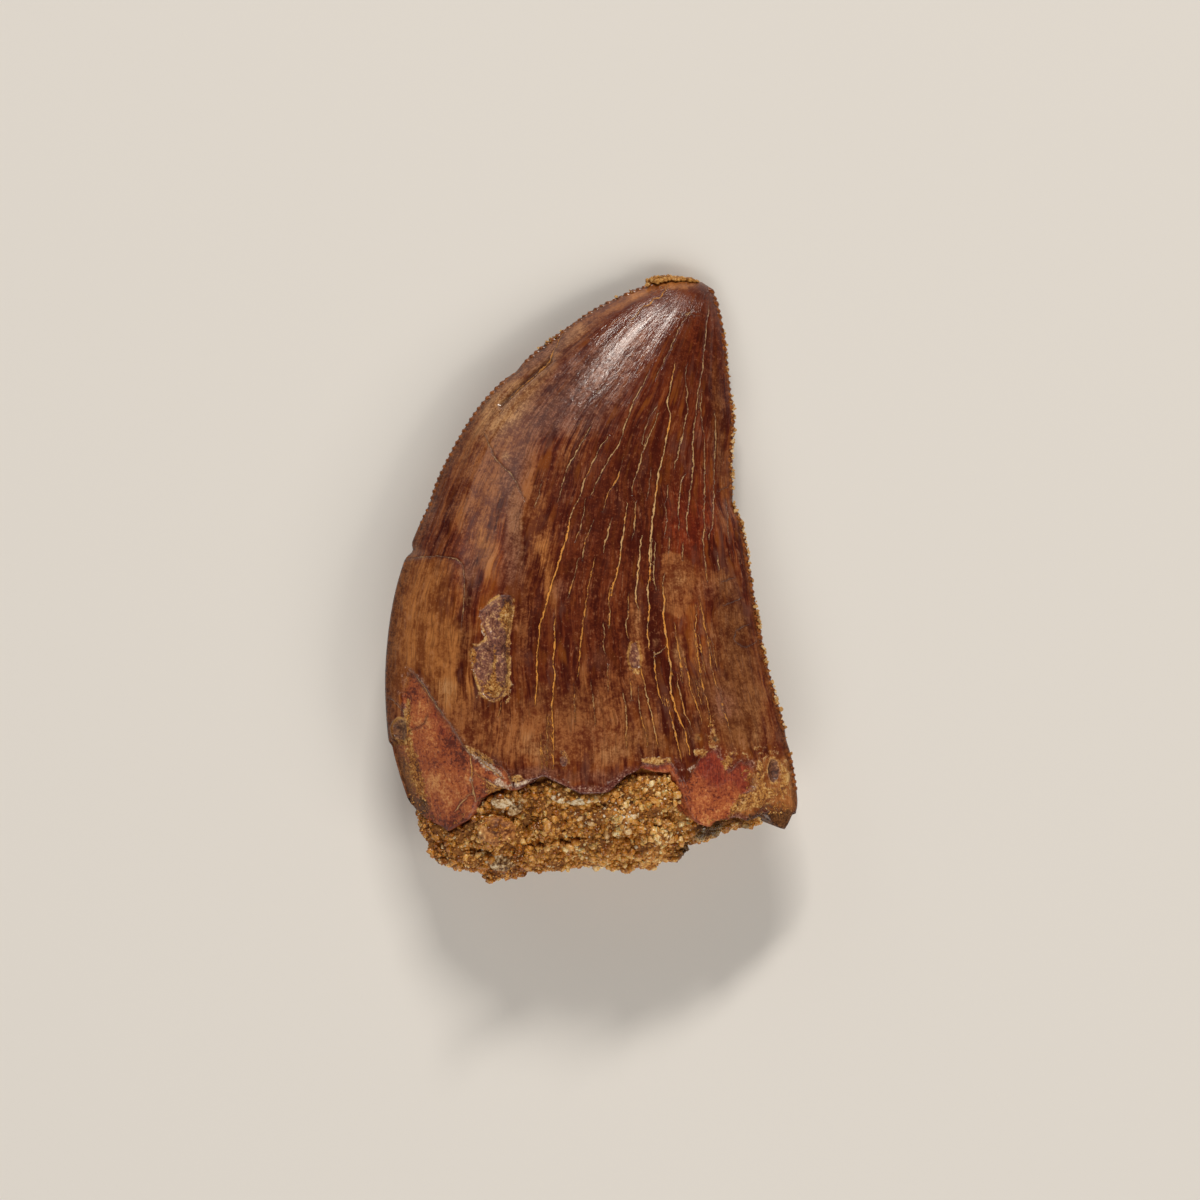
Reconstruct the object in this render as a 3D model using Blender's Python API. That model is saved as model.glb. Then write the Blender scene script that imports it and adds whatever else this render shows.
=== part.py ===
"""A fossil tooth of a large meat-eating dinosaur, lying on its side: the serrated crown, broken off at
its base, and the hardened sand that fills the hollow of the base.

The origin is at the bottom centre, on the surface that the tooth lies on. The tip points along +Y, the
nearly straight rear edge faces +X and the curved front edge faces -X. Lengths are in millimetres in the
named values below, and become metres where a mesh is made."""

import math

import bmesh
import bpy
import numpy as np
from mathutils import Vector, noise

MM = 0.001

# Outline of the crown from above, tip to base, as (x, y)
FRONT_EDGE = (
    (7.0, 18.5), (4.8, 18.6), (3.2, 18.1), (1.1, 17.2), (-0.9, 16.0), (-4.1, 13.5), (-7.0, 10.6),
    (-9.2, 6.9), (-10.7, 3.3), (-11.9, 0.3), (-12.6, -2.8), (-12.9, -6.5), (-12.7, -10.2),
    (-12.2, -12.4), (-11.3, -15.1),
)
REAR_EDGE = (
    (7.0, 18.5), (7.6, 18.0), (8.0, 17.0), (8.4, 15.0), (8.75, 11.7), (9.0, 9.8), (8.85, 7.2),
    (9.0, 4.6), (9.6, 2.6), (10.25, -1.5), (11.1, -5.9), (12.3, -10.2), (12.9, -13.8), (12.8, -15.1),
)

# Crown: half thicknesses above and below the cutting edges at the base, and how the section swells
UPPER_HALF = 5.3
LOWER_HALF = 4.6
RIDGE_AT = 0.46
SECTION_POWER = 2.2
SWELL_POWER = 1.6
SWELL_ROOT = 0.75
FLAT_DEPTH = 0.2
TIP_LIFT = 0.7
LIFT_ENDS_AT = 0.55

# Saw teeth on both cutting edges, and the worn stretches of them as (place, half length, depth)
EDGE_LENGTH = 39.0
SAW_TEETH = 64
SAW_HEIGHT = 0.2
FRONT_NICKS = ((0.54, 0.02, 0.5), (0.31, 0.012, 0.15))
REAR_NICKS = ((0.42, 0.015, 0.12), (0.86, 0.02, 0.1))

# Lower rims of the enamel and of the dentine under it, as (share across, share down) from the front edge
ENAMEL_SKIN = 0.35
ENAMEL_RIM_UPPER = (
    (0.0, 0.985), (0.045, 0.975), (0.052, 0.8), (0.085, 0.79), (0.15, 0.865), (0.22, 0.905),
    (0.3, 0.944), (0.4, 0.936), (0.5, 0.95), (0.6, 0.93), (0.69, 0.922), (0.72, 0.965), (0.775, 0.905),
    (0.85, 0.92), (0.91, 0.955), (0.93, 0.995), (1.0, 1.0),
)
ENAMEL_RIM_LOWER = (
    (0.0, 0.985), (0.1, 0.96), (0.2, 0.93), (0.35, 0.945), (0.5, 0.93), (0.64, 0.95), (0.8, 0.93),
    (0.92, 0.975), (1.0, 1.0),
)
DENTINE_RIM_UPPER = (
    (0.0, 0.985), (0.05, 0.995), (0.12, 1.01), (0.18, 0.995), (0.25, 0.97), (0.31, 0.955), (0.5, 0.96),
    (0.69, 0.935), (0.72, 0.985), (0.8, 1.0), (0.88, 1.0), (0.95, 1.015), (1.0, 1.0),
)
DENTINE_RIM_LOWER = (
    (0.0, 0.985), (0.15, 0.975), (0.3, 0.96), (0.45, 0.97), (0.6, 0.985), (0.75, 0.97), (0.9, 0.99),
    (1.0, 1.0),
)
RIM_STARTS_AT = 0.72
COLUMNS = 12

# Hollow of the base, where the nerve was
HOLLOW_CENTRE = (0.6, -13.4, 4.6)
HOLLOW_HALF = (8.2, 3.8, 2.8)

# Sand that fills the hollow and stands out below it: the crown's section carried on to this lower rim
SAND_RIM = (
    (0.0, 1.04), (0.03, 1.07), (0.1, 1.085), (0.16, 1.1), (0.31, 1.088), (0.49, 1.09), (0.62, 1.09),
    (0.68, 1.08), (0.74, 1.05), (0.85, 1.02), (0.92, 1.012), (1.0, 0.99),
)
SAND_STARTS_AT = 0.9
SAND_RECESS = 0.2
SAND_ROUND = 0.45
SAND_LUMPS = ((2.6, 1.1), (1.3, 0.5))
LUMPS_REACH = 0.05
SAND_COLUMNS = 26
SAND_ROWS = 12
GAP = 0.3

# Chips in the upper face, as (centre, half length, half width, turn in degrees, depth)
CHIPS = (
    ((-6.3, -3.6), 3.2, 1.05, 8.0, 0.4),
    ((2.75, -5.2), 1.15, 0.5, 4.0, 0.28),
    ((11.4, -12.0), 1.0, 0.45, 4.0, 0.35),
    ((-11.9, -9.9), 0.9, 0.5, 10.0, 0.3),
)

SMOOTH_UP_TO = 35
ENAMEL_BROWN = (0.16, 0.05, 0.018, 1.0)
SAND_OCHRE = (0.42, 0.25, 0.09, 1.0)


def material(name, colour, roughness):
    made = bpy.data.materials.new(name)
    made.use_nodes = True
    shader = made.node_tree.nodes["Principled BSDF"]
    shader.inputs["Base Color"].default_value = colour
    shader.inputs["Roughness"].default_value = roughness
    shader.inputs["Metallic"].default_value = 0.0
    return made


def collection(name):
    made = bpy.data.collections.new(name)
    bpy.context.scene.collection.children.link(made)
    return made


def smooth_line(points, steps=24):
    """A Catmull-Rom curve through the points, and the share of its length at each of its samples."""
    p = np.array(points, float)
    p = np.vstack([2 * p[0] - p[1], p, 2 * p[-1] - p[-2]])
    t = np.linspace(0, 1, steps, endpoint=False)[:, None]
    spans = []
    for a, b, c, d in zip(p, p[1:], p[2:], p[3:]):
        cubic = (3 * b - a - 3 * c + d) * t**3 + (2 * a - 5 * b + 4 * c - d) * t**2
        spans.append(b + 0.5 * (cubic + (c - a) * t))
    line = np.vstack([*spans, p[-2]])
    along = np.concatenate([[0], np.cumsum(np.linalg.norm(np.diff(line, axis=0), axis=1))])
    return line, along / along[-1]


def along_edge(outline, share):
    """The point at this share of the outline's length; a share over 1 goes straight on."""
    line, along = smooth_line(outline)
    inside = min(share, 1.0)
    point = np.array([np.interp(inside, along, line[:, k]) for k in (0, 1)])
    ahead = (line[-1] - line[-5]) / (along[-1] - along[-5])
    return point + ahead * (share - inside)


def swell(down):
    """How far the section has swollen, from 0 at the tip to 1 at the base."""
    return (1 - (1 - min(max(down, 0.0), 1.0)) ** SWELL_POWER) ** SWELL_ROOT


def section(across):
    """Half thickness across the section, 0 at both cutting edges and 1 on the ridge."""
    side = across / RIDGE_AT if across < RIDGE_AT else (1 - across) / (1 - RIDGE_AT)
    return 1 - (1 - side) ** SECTION_POWER


def edge_height(down):
    """Height of the cutting edges above the surface that the tooth lies on."""
    lift = TIP_LIFT * max(0.0, 1 - down / LIFT_ENDS_AT) ** 2
    return LOWER_HALF * swell(down) - FLAT_DEPTH + lift


def worn(down, nicks):
    return sum(depth * math.exp(-(((down - at) / half) ** 2)) for at, half, depth in nicks)


def crown_point(across, down, upper, grow, tooth=0.0):
    """A point of the crown's surface. grow moves it outwards, or inwards where it is negative, and
    tooth moves it outwards on the cutting edges alone."""
    front = along_edge(FRONT_EDGE, down)
    rear = along_edge(REAR_EDGE, down)
    outwards = (rear - front) / max(np.linalg.norm(rear - front), 1e-6)
    reach = (1 - 2 * across) ** 12
    step = (grow - worn(down, FRONT_NICKS if across < 0.5 else REAR_NICKS)) * reach
    if across in (0.0, 1.0):
        step += tooth
    x, y = front + (rear - front) * across + outwards * (step if across > 0.5 else -step)
    half = UPPER_HALF if upper else LOWER_HALF
    thick = max(0.0, half * swell(down) * section(across) + grow * min(1.0, 8 * across * (1 - across)))
    return x, y, edge_height(down) + (thick if upper else -thick)


def rim(points, across):
    shares, downs = zip(*points)
    return float(np.interp(across, shares, downs))


def spread(count):
    """Places across the section, closer together near the cutting edges."""
    return [0.5 - 0.5 * math.cos(math.pi * k / count) for k in range(count + 1)]


def ring(columns, point):
    """One ring: over the top from the front edge to the rear edge, and back underneath."""
    over = [point(across, True) for across in columns]
    under = [point(across, False) for across in columns[1:-1]]
    return over + under[::-1]


def crown_rings(upper_rim, lower_rim, grow, rows, sawn=False, lowest=0.0):
    """The crown from the tip down to its two rims. Every second row is the crest of a saw tooth."""

    def point(across, upper):
        end = rim(upper_rim if upper else lower_rim, across) + max(grow, 0.0) / EDGE_LENGTH
        past = max(0.0, share - RIM_STARTS_AT) / (1 - RIM_STARTS_AT)
        down = min(share, RIM_STARTS_AT) + past * (end - RIM_STARTS_AT)
        fade = min(1.0, down / 0.04) * min(1.0, (1.02 - down) / 0.06)
        x, y, z = crown_point(across, down, upper, grow, tooth * fade)
        return x, y, max(z, lowest)

    tip = along_edge(FRONT_EDGE, 0)
    rings = [[(tip[0], tip[1] + grow, edge_height(0))] * (2 * COLUMNS)]
    for row in range(1, rows + 1):
        share = row / rows
        tooth = SAW_HEIGHT if sawn and row % 2 else 0.0
        rings.append(ring(spread(COLUMNS), point))
    return rings


def sand_rings():
    """The sand, from inside the crown down to its rounded lower rim."""

    def point(across, upper):
        down = SAND_STARTS_AT + (rim(SAND_RIM, across) - SAND_STARTS_AT) * math.sin(turn)
        x, y, z = crown_point(across, down, upper, -SAND_RECESS)
        middle = edge_height(down)
        p = Vector((x, y, middle + (z - middle) * max(0.0, math.cos(turn)) ** SAND_ROUND))
        top = rim(DENTINE_RIM_UPPER if upper else DENTINE_RIM_LOWER, across)
        below = min(1.0, max(0.0, (down - top) / LUMPS_REACH))
        outwards = (p - Vector(HOLLOW_CENTRE)).normalized()
        for size, height in SAND_LUMPS:
            p += outwards * height * below * (noise.noise(p / size) - 0.25)
        return p.x, p.y, max(p.z, 0.0)

    rings = []
    for row in range(SAND_ROWS + 1):
        turn = 0.5 * math.pi * row / SAND_ROWS
        rings.append(ring(spread(SAND_COLUMNS), point))
    return rings


def skin(name, rings):
    """A closed mesh through the rings, with a strip across each end. Points in one place become one."""
    bm = bmesh.new()
    loops = [[bm.verts.new(Vector(point) * MM) for point in points] for points in rings]
    count = len(loops[0])
    for loop, below in zip(loops, loops[1:]):
        for k in range(count):
            after = (k + 1) % count
            bm.faces.new((loop[k], below[k], below[after], loop[after]))
    for end in (loops[0], loops[-1]):
        for k in range(count // 2):
            bm.faces.new(dict.fromkeys((end[k], end[-k % count], end[-k - 1], end[k + 1])))
    bmesh.ops.remove_doubles(bm, verts=bm.verts, dist=1e-7)
    bmesh.ops.triangulate(bm, faces=bm.faces)
    bmesh.ops.recalc_face_normals(bm, faces=bm.faces)
    made = add_mesh(name, bm)
    made.data.shade_smooth()
    made.data.set_sharp_from_angle(angle=math.radians(SMOOTH_UP_TO))
    return made


def add_mesh(name, bm):
    mesh = bpy.data.meshes.new(name)
    bm.to_mesh(mesh)
    bm.free()
    return bpy.data.objects.new(name, mesh)


def scaled_ball(name, centre, halves, turn=0.0):
    """A cutter: a ball of these half sizes, turned about Z."""
    bm = bmesh.new()
    bmesh.ops.create_uvsphere(bm, u_segments=20, v_segments=12, radius=1.0)
    ball = add_mesh(name, bm)
    ball.scale = Vector(halves) * MM
    ball.rotation_euler.z = math.radians(turn)
    ball.location = Vector(centre) * MM
    return ball


def upper_height(x, y):
    """Height of the crown's upper face over (x, y), found by walking down the crown."""
    best = (1e9, 0.0)
    for down in np.linspace(0.05, 1.0, 60):
        front = along_edge(FRONT_EDGE, down)
        rear = along_edge(REAR_EDGE, down)
        across = float(np.dot((x, y) - front, rear - front) / np.dot(rear - front, rear - front))
        if 0 < across < 1:
            miss = np.linalg.norm(front + (rear - front) * across - (x, y))
            best = min(best, (miss, edge_height(down) + UPPER_HALF * swell(down) * section(across)))
    return best[1]


def chip_cutter(number, centre, half_length, half_width, turn, depth):
    """A long ball sunk into the upper face so that it cuts a hollow of this depth."""
    height = 1.2
    top = upper_height(*centre)
    wider = 1 / math.sqrt(1 - (1 - depth / height) ** 2)
    halves = (half_width * wider, half_length * wider, height)
    return scaled_ball(f"chip_cutter_{number}", (*centre, top + height - depth), halves, turn)


def boolean(target, other, operation):
    change = target.modifiers.new(f"{operation.lower()} {other.name}", "BOOLEAN")
    change.operation = operation
    change.object = other


def helper(obj, group):
    group.objects.link(obj)
    obj.hide_render = True
    obj.display_type = "WIRE"
    return obj


def build():
    for old in list(bpy.data.objects):
        bpy.data.objects.remove(old)
    pieces = collection("fossil_tooth")
    cutters = collection("cutters")

    rows = 2 * SAW_TEETH
    few = rows // 4
    crown = skin("tooth_crown", crown_rings(ENAMEL_RIM_UPPER, ENAMEL_RIM_LOWER, 0.0, rows, sawn=True))
    crown.data.materials.append(material("enamel", ENAMEL_BROWN, 0.3))
    pieces.objects.link(crown)
    dentine = skin("dentine_core", crown_rings(DENTINE_RIM_UPPER, DENTINE_RIM_LOWER, -ENAMEL_SKIN, few))
    boolean(crown, helper(dentine, cutters), "UNION")
    hollow = helper(scaled_ball("hollow_cutter", HOLLOW_CENTRE, HOLLOW_HALF), cutters)
    boolean(crown, hollow, "DIFFERENCE")
    for number, chip in enumerate(CHIPS, 1):
        boolean(crown, helper(chip_cutter(number, *chip), cutters), "DIFFERENCE")

    sand = skin("sandstone_plug", sand_rings())
    sand.data.materials.append(material("sandstone", SAND_OCHRE, 0.9))
    pieces.objects.link(sand)
    room = skin("crown_room", crown_rings(DENTINE_RIM_UPPER, DENTINE_RIM_LOWER, GAP, few, lowest=-1.0))
    narrower = [half - GAP for half in HOLLOW_HALF]
    plug = helper(scaled_ball("plug_room", HOLLOW_CENTRE, narrower), cutters)
    boolean(sand, plug, "UNION")
    boolean(helper(room, cutters), plug, "DIFFERENCE")
    boolean(sand, room, "DIFFERENCE")


build()
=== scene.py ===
import math

import bmesh
import bpy
import numpy as np
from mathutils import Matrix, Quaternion, Vector, bvhtree, kdtree, noise


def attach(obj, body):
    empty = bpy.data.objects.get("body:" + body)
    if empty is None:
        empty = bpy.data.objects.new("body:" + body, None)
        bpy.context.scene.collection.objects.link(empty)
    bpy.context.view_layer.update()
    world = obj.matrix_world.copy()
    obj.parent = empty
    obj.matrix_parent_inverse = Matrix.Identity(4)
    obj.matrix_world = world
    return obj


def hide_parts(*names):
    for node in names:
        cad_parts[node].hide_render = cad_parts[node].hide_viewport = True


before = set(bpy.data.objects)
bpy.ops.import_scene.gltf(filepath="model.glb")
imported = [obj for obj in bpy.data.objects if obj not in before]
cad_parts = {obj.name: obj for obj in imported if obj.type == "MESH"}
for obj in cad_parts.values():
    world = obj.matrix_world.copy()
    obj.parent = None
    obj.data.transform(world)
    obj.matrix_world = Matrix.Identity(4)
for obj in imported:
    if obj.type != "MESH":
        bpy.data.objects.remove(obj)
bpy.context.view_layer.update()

# A fossil tooth lying on its side: serrated crown, broken base, hardened sand in the hollow of the base.
# Sizes are in mm and become metres where a mesh is made. +Y is the tip, -X the curved front edge.
mm = 0.001

photo = {"pixelsPerMm": 16.0, "middle": (591.0, 574.5), "frame": 1200}


def fromPhoto(points):
    # photo pixels to mm on the tooth, seen from straight above
    x, y = np.array(points, float).T
    return np.column_stack([x - photo["middle"][0], photo["middle"][1] - y]) / photo["pixelsPerMm"]


# Curves and smooth random values

def smoothLine(points, steps=12):
    # Catmull-Rom through the points
    p = np.array(points, float)
    p = np.vstack([2 * p[0] - p[1], p, 2 * p[-1] - p[-2]])
    t = np.linspace(0, 1, steps, endpoint=False)[:, None]
    spans = []
    for a, b, c, d in zip(p, p[1:], p[2:], p[3:]):
        cubic = (3 * b - a - 3 * c + d) * t**3 + (2 * a - 5 * b + 4 * c - d) * t**2
        spans.append(b + 0.5 * (cubic + (c - a) * t))
    return np.vstack([*spans, p[-2]])


def lengthsAlong(line):
    return np.concatenate([[0], np.cumsum(np.linalg.norm(np.diff(line, axis=0), axis=1))])


def ease(low, high, value):
    t = np.clip((value - low) / (high - low), 0, 1)
    return t * t * (3 - 2 * t)


def wander(points, size, seed, octaves=1):
    # smooth random value from -1 to 1 at each point, with bumps about as wide as size
    total = np.zeros(len(points))
    for octave in range(octaves):
        p = points * 2**octave / size + 31.7 * (seed + octave)
        cell = np.floor(p)
        f = p - cell
        f = f * f * (3 - 2 * f)
        value = np.zeros(len(points))
        for corner in np.ndindex(2, 2, 2):
            c = cell + corner
            wave = np.sin(c @ (127.1, 311.7, 74.7)) * 43758.5453
            share = np.prod(np.where(corner, f, 1 - f), axis=1)
            value += share * (2 * (wave - np.floor(wave)) - 1)
        total += value / 2**octave
    return total


# Crown: its outline from above, tip to base, and how its section swells, as in the source of the solid
crown = {
    "frontEdge": (
        (7.0, 18.5), (4.8, 18.6), (3.2, 18.1), (1.1, 17.2), (-0.9, 16.0), (-4.1, 13.5), (-7.0, 10.6),
        (-9.2, 6.9), (-10.7, 3.3), (-11.9, 0.3), (-12.6, -2.8), (-12.9, -6.5), (-12.7, -10.2),
        (-12.2, -12.4), (-11.3, -15.1),
    ),
    "rearEdge": (
        (7.0, 18.5), (7.6, 18.0), (8.0, 17.0), (8.4, 15.0), (8.75, 11.7), (9.0, 9.8), (8.85, 7.2),
        (9.0, 4.6), (9.6, 2.6), (10.25, -1.5), (11.1, -5.9), (12.3, -10.2), (12.9, -13.8), (12.8, -15.1),
    ),
    "halfAbove": 5.3, "halfBelow": 4.6, "ridgeAt": 0.46, "sectionPower": 2.2,
    "swellPower": 1.6, "swellRoot": 0.75, "flatDepth": 0.2, "tipLift": 0.7, "liftEndsAt": 0.55,
    # worn stretches of both edges: share down, half length, depth in mm
    "frontWear": ((0.54, 0.02, 0.1), (0.612, 0.008, 0.26), (0.31, 0.012, 0.15)),
    "rearWear": ((0.42, 0.015, 0.12), (0.86, 0.02, 0.1)),
    "rimBelow": (
        (0.0, 0.985), (0.15, 0.975), (0.3, 0.96), (0.45, 0.97), (0.6, 0.985), (0.75, 0.97), (0.9, 0.99),
        (1.0, 1.0),
    ),
    # where the broken rim of the upper face lies, in photo pixels from the front edge to the rear edge
    "rimSeen": (
        (404, 800), (416, 812), (428, 822), (436, 824), (446, 830), (460, 822), (467, 818), (474, 805),
        (484, 795), (497, 789), (512, 787), (523, 782), (538, 777), (547, 775), (556, 780), (566, 784),
        (578, 789), (593, 790), (607, 787), (618, 780), (626, 772), (638, 771), (644, 768), (656, 770),
        (672, 768), (678, 779), (683, 792), (690, 806), (698, 821), (710, 822), (723, 818), (735, 816),
        (746, 818), (756, 817), (763, 813), (768, 813), (772, 821), (778, 828), (784, 830), (789, 824),
        (793, 814),
    ),
    "rimStartsAt": 0.72, "rows": 300, "columnsAbove": 190, "columnsBelow": 92, "evenShare": 0.65,
    "rimRagged": 0.007, "curls": (0.05, 0.2, 0.6), "heart": (0.5, -11.5, 4.6),
    "widthAtBase": 24.0, "lengthDown": 39.0, "sideSpan": 6.0, "flowLean": 0.07,
}


class Edge:
    # a cutting edge from above: a point for each share of its length, going straight on past its end
    def __init__(self, outline, wear, outwards):
        self.line = smoothLine(outline, 24)
        along = lengthsAlong(self.line)
        self.length = along[-1]
        self.share = along / along[-1]
        self.ahead = (self.line[-1] - self.line[-5]) / (self.share[-1] - self.share[-5])
        self.wear = wear
        self.outwards = outwards

    def at(self, down):
        inside = np.minimum(down, 1.0)
        point = np.column_stack([np.interp(inside, self.share, self.line[:, k]) for k in (0, 1)])
        return point + self.ahead * (down - inside)[:, None]

    def worn(self, down):
        return sum(deep * np.exp(-(((down - at) / half) ** 2)) for at, half, deep in self.wear)


frontEdge = Edge(crown["frontEdge"], crown["frontWear"], -1)
rearEdge = Edge(crown["rearEdge"], crown["rearWear"], 1)


def swell(down):
    return (1 - (1 - np.clip(down, 0, 1)) ** crown["swellPower"]) ** crown["swellRoot"]


def section(across):
    ridge = crown["ridgeAt"]
    side = np.where(across < ridge, across / ridge, (1 - across) / (1 - ridge))
    return 1 - (1 - side) ** crown["sectionPower"]


def edgeHeight(down):
    lift = crown["tipLift"] * np.maximum(0.0, 1 - down / crown["liftEndsAt"]) ** 2
    return crown["halfBelow"] * swell(down) - crown["flatDepth"] + lift


def crownPoints(across, down, above, grow=0.0):
    # points of the plain crown for shares across and down it; grow moves them outwards
    front, rear = frontEdge.at(down), rearEdge.at(down)
    outwards = rear - front
    outwards /= np.maximum(np.linalg.norm(outwards, axis=1), 1e-6)[:, None]
    reach = (1 - 2 * across) ** 12
    isRear = across > 0.5
    step = (grow - np.where(isRear, rearEdge.worn(down), frontEdge.worn(down))) * reach
    xy = front + (rear - front) * across[:, None] + outwards * np.where(isRear, step, -step)[:, None]
    half = np.where(above, crown["halfAbove"], crown["halfBelow"])
    thick = half * swell(down) * section(across) + grow * np.minimum(1.0, 8 * across * (1 - across))
    thick = np.maximum(0.0, thick)
    return np.column_stack([xy, edgeHeight(down) + np.where(above, thick, -thick)])


def rimAt(rim, across):
    return np.interp(across, *np.array(rim).T)


def sharesAt(xy):
    # shares across and down of places on the crown's outline from above, found on a fine grid of them
    k = np.linspace(0, 1, 241)
    across, down = [a.ravel() for a in np.meshgrid(k, 0.6 + 0.5 * k)]
    places = crownPoints(across, down, True)[:, :2]
    tree = kdtree.KDTree(len(places))
    for index, place in enumerate(places):
        tree.insert((*place, 0), index)
    tree.balance()
    found = [tree.find((*place, 0))[1] for place in xy]
    return across[found], down[found]


def addMesh(name, points, faces, edges=(), smooth=True):
    # points in mm
    mesh = bpy.data.meshes.new(name)
    mesh.from_pydata((np.asarray(points) * mm).tolist(), edges, faces)
    mesh.validate()
    if smooth:
        mesh.shade_smooth()
    made = bpy.data.objects.new(name, mesh)
    bpy.context.scene.collection.objects.link(made)
    return made


def setField(obj, name, values):
    field = obj.data.attributes.new(name, "FLOAT", "POINT")
    field.data.foreach_set("value", np.asarray(values, np.float32))


def ringFaces(ringSize, strips):
    # faces of closed strips between rings of points that follow one another
    k = np.arange(ringSize)
    after = (k + 1) % ringSize
    faces = []
    for strip in range(strips):
        a, b = strip * ringSize, (strip + 1) * ringSize
        faces += np.column_stack([a + k, b + k, b + after, a + after]).tolist()
    return faces


def facesOut(obj, mergeWithin=None):
    bm = bmesh.new()
    bm.from_mesh(obj.data)
    if mergeWithin:
        bmesh.ops.remove_doubles(bm, verts=bm.verts, dist=mergeWithin)
    bmesh.ops.recalc_face_normals(bm, faces=bm.faces)
    bm.to_mesh(obj.data)
    bm.free()


# Shader and geometry nodes

class Link:
    # one socket; sums, products and comparisons of it add Math nodes
    def __init__(self, maker, socket):
        self.maker = maker
        self.socket = socket

    def math(self, operation, *others):
        return self.maker.node("ShaderNodeMath", {"operation": operation}, (self, *others))

    def __add__(self, other):
        return self.math("ADD", other)

    __radd__ = __add__

    def __sub__(self, other):
        return self.math("SUBTRACT", other)

    def __rsub__(self, other):
        return self * -1 + other

    def __mul__(self, other):
        return self.math("MULTIPLY", other)

    __rmul__ = __mul__

    def __pow__(self, other):
        return self.math("POWER", other)

    def size(self):
        return self.math("ABSOLUTE")

    def between(self, low, high):
        # 0 at low and 1 at high, smoothly; low may be above high
        limits = (self, low, high, 0.0, 1.0)
        return self.maker.node("ShaderNodeMapRange", {"interpolation_type": "SMOOTHSTEP"}, limits)

    def most(self, other):
        return self.math("MAXIMUM", other)

    def least(self, other):
        return self.math("MINIMUM", other)


class Maker:
    # adds nodes to one tree
    def __init__(self, tree):
        self.tree = tree

    def node(self, kind, settings=None, values=(), out=0):
        made = self.tree.nodes.new(kind)
        for name, value in (settings or {}).items():
            if name == "stops":
                self.setStops(made.color_ramp, value)
            else:
                setattr(made, name, value)
        if not isinstance(values, dict):
            values = dict(enumerate(values))
        for key, value in values.items():
            if isinstance(value, Link):
                self.tree.links.new(value.socket, made.inputs[key])
            elif value is not None:
                made.inputs[key].default_value = value
        return None if out is None else Link(self, made.outputs[out])

    def setStops(self, ramp, stops):
        while len(ramp.elements) < len(stops):
            ramp.elements.new(0.5)
        for element, (place, colour) in zip(ramp.elements, stops):
            element.position = place
            element.color = colour

    def field(self, name):
        return self.node("ShaderNodeAttribute", {"attribute_name": name}, out="Fac")

    def vector(self, x, y, z):
        return self.node("ShaderNodeCombineXYZ", None, (x, y, z))

    def noise(self, at, scale, detail=2.0, roughness=0.5, distortion=0.0):
        values = {"Vector": at, "Scale": scale, "Detail": detail, "Roughness": roughness,
                  "Distortion": distortion}
        return self.node("ShaderNodeTexNoise", None, values)

    def mix(self, share, first, second):
        # each colour is a link, or a colour of the screen
        first, second = (tint(*colour) if isinstance(colour, tuple) else colour for colour in (first, second))
        return self.node("ShaderNodeMix", {"data_type": "RGBA"}, {0: share, 6: first, 7: second}, out=2)

    def ramp(self, value, stops):
        # each stop is its place and a colour of the screen
        stops = [(place, tint(*colour)) for place, *colour in stops]
        return self.node("ShaderNodeValToRGB", {"stops": stops}, (value,))

    def out(self, socket, made):
        # another output of the node that a link comes from
        return Link(self, made.socket.node.outputs[socket])


def tint(red, green, blue):
    # a colour of the screen, 0 to 255, as the linear values that shaders take
    return (*(((c / 255 + 0.055) / 1.055) ** 2.4 if c > 10 else c / 3294.6 for c in (red, green, blue)), 1.0)


def newMaterial(name):
    made = bpy.data.materials.new(name)
    made.use_nodes = True
    made.node_tree.nodes.clear()
    return made, Maker(made.node_tree)


def finishMaterial(maker, sockets, height, bump):
    # the surface shader, its constants and links, and the bump under its Normal
    strength, distance = bump
    values = {"Strength": strength, "Distance": distance * mm, "Height": height}
    lifted = maker.node("ShaderNodeBump", None, values)
    surface = maker.node("ShaderNodeBsdfPrincipled", None, {**sockets, "Normal": lifted})
    maker.node("ShaderNodeOutputMaterial", None, {"Surface": surface}, out=None)


# What shows on the upper face, placed by pixels of the photograph

# where the enamel is gone at the base and the red dentine and the sand show
brokenBase = {
    "outline": (
        (376, 744), (395, 742), (404, 740), (407, 722), (406, 710), (401, 700), (401, 688), (405, 677),
        (409, 673), (416, 677), (423, 685), (431, 698), (443, 715), (455, 733), (463, 744.5), (470, 753),
        (479.5, 754), (496, 763), (509, 771), (513, 786), (523, 787), (538, 783), (547, 781), (556.5, 786),
        (566, 790), (578, 795), (593, 796.5), (607, 793), (618, 786), (625, 778), (638, 775), (642, 763.5),
        (655, 762), (672, 760), (675, 767), (678, 775), (681, 784), (690, 776), (697, 761), (705, 752),
        (715, 748), (722, 759), (730.5, 769), (740, 761), (750, 761), (756, 775), (756, 786), (748, 792),
        (738, 803), (731, 814), (728, 830), (728, 900), (376, 900),
    ),
    "depth": 0.2, "slope": 0.13, "ragged": 0.1, "shareBelow": 0.035,
}

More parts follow.
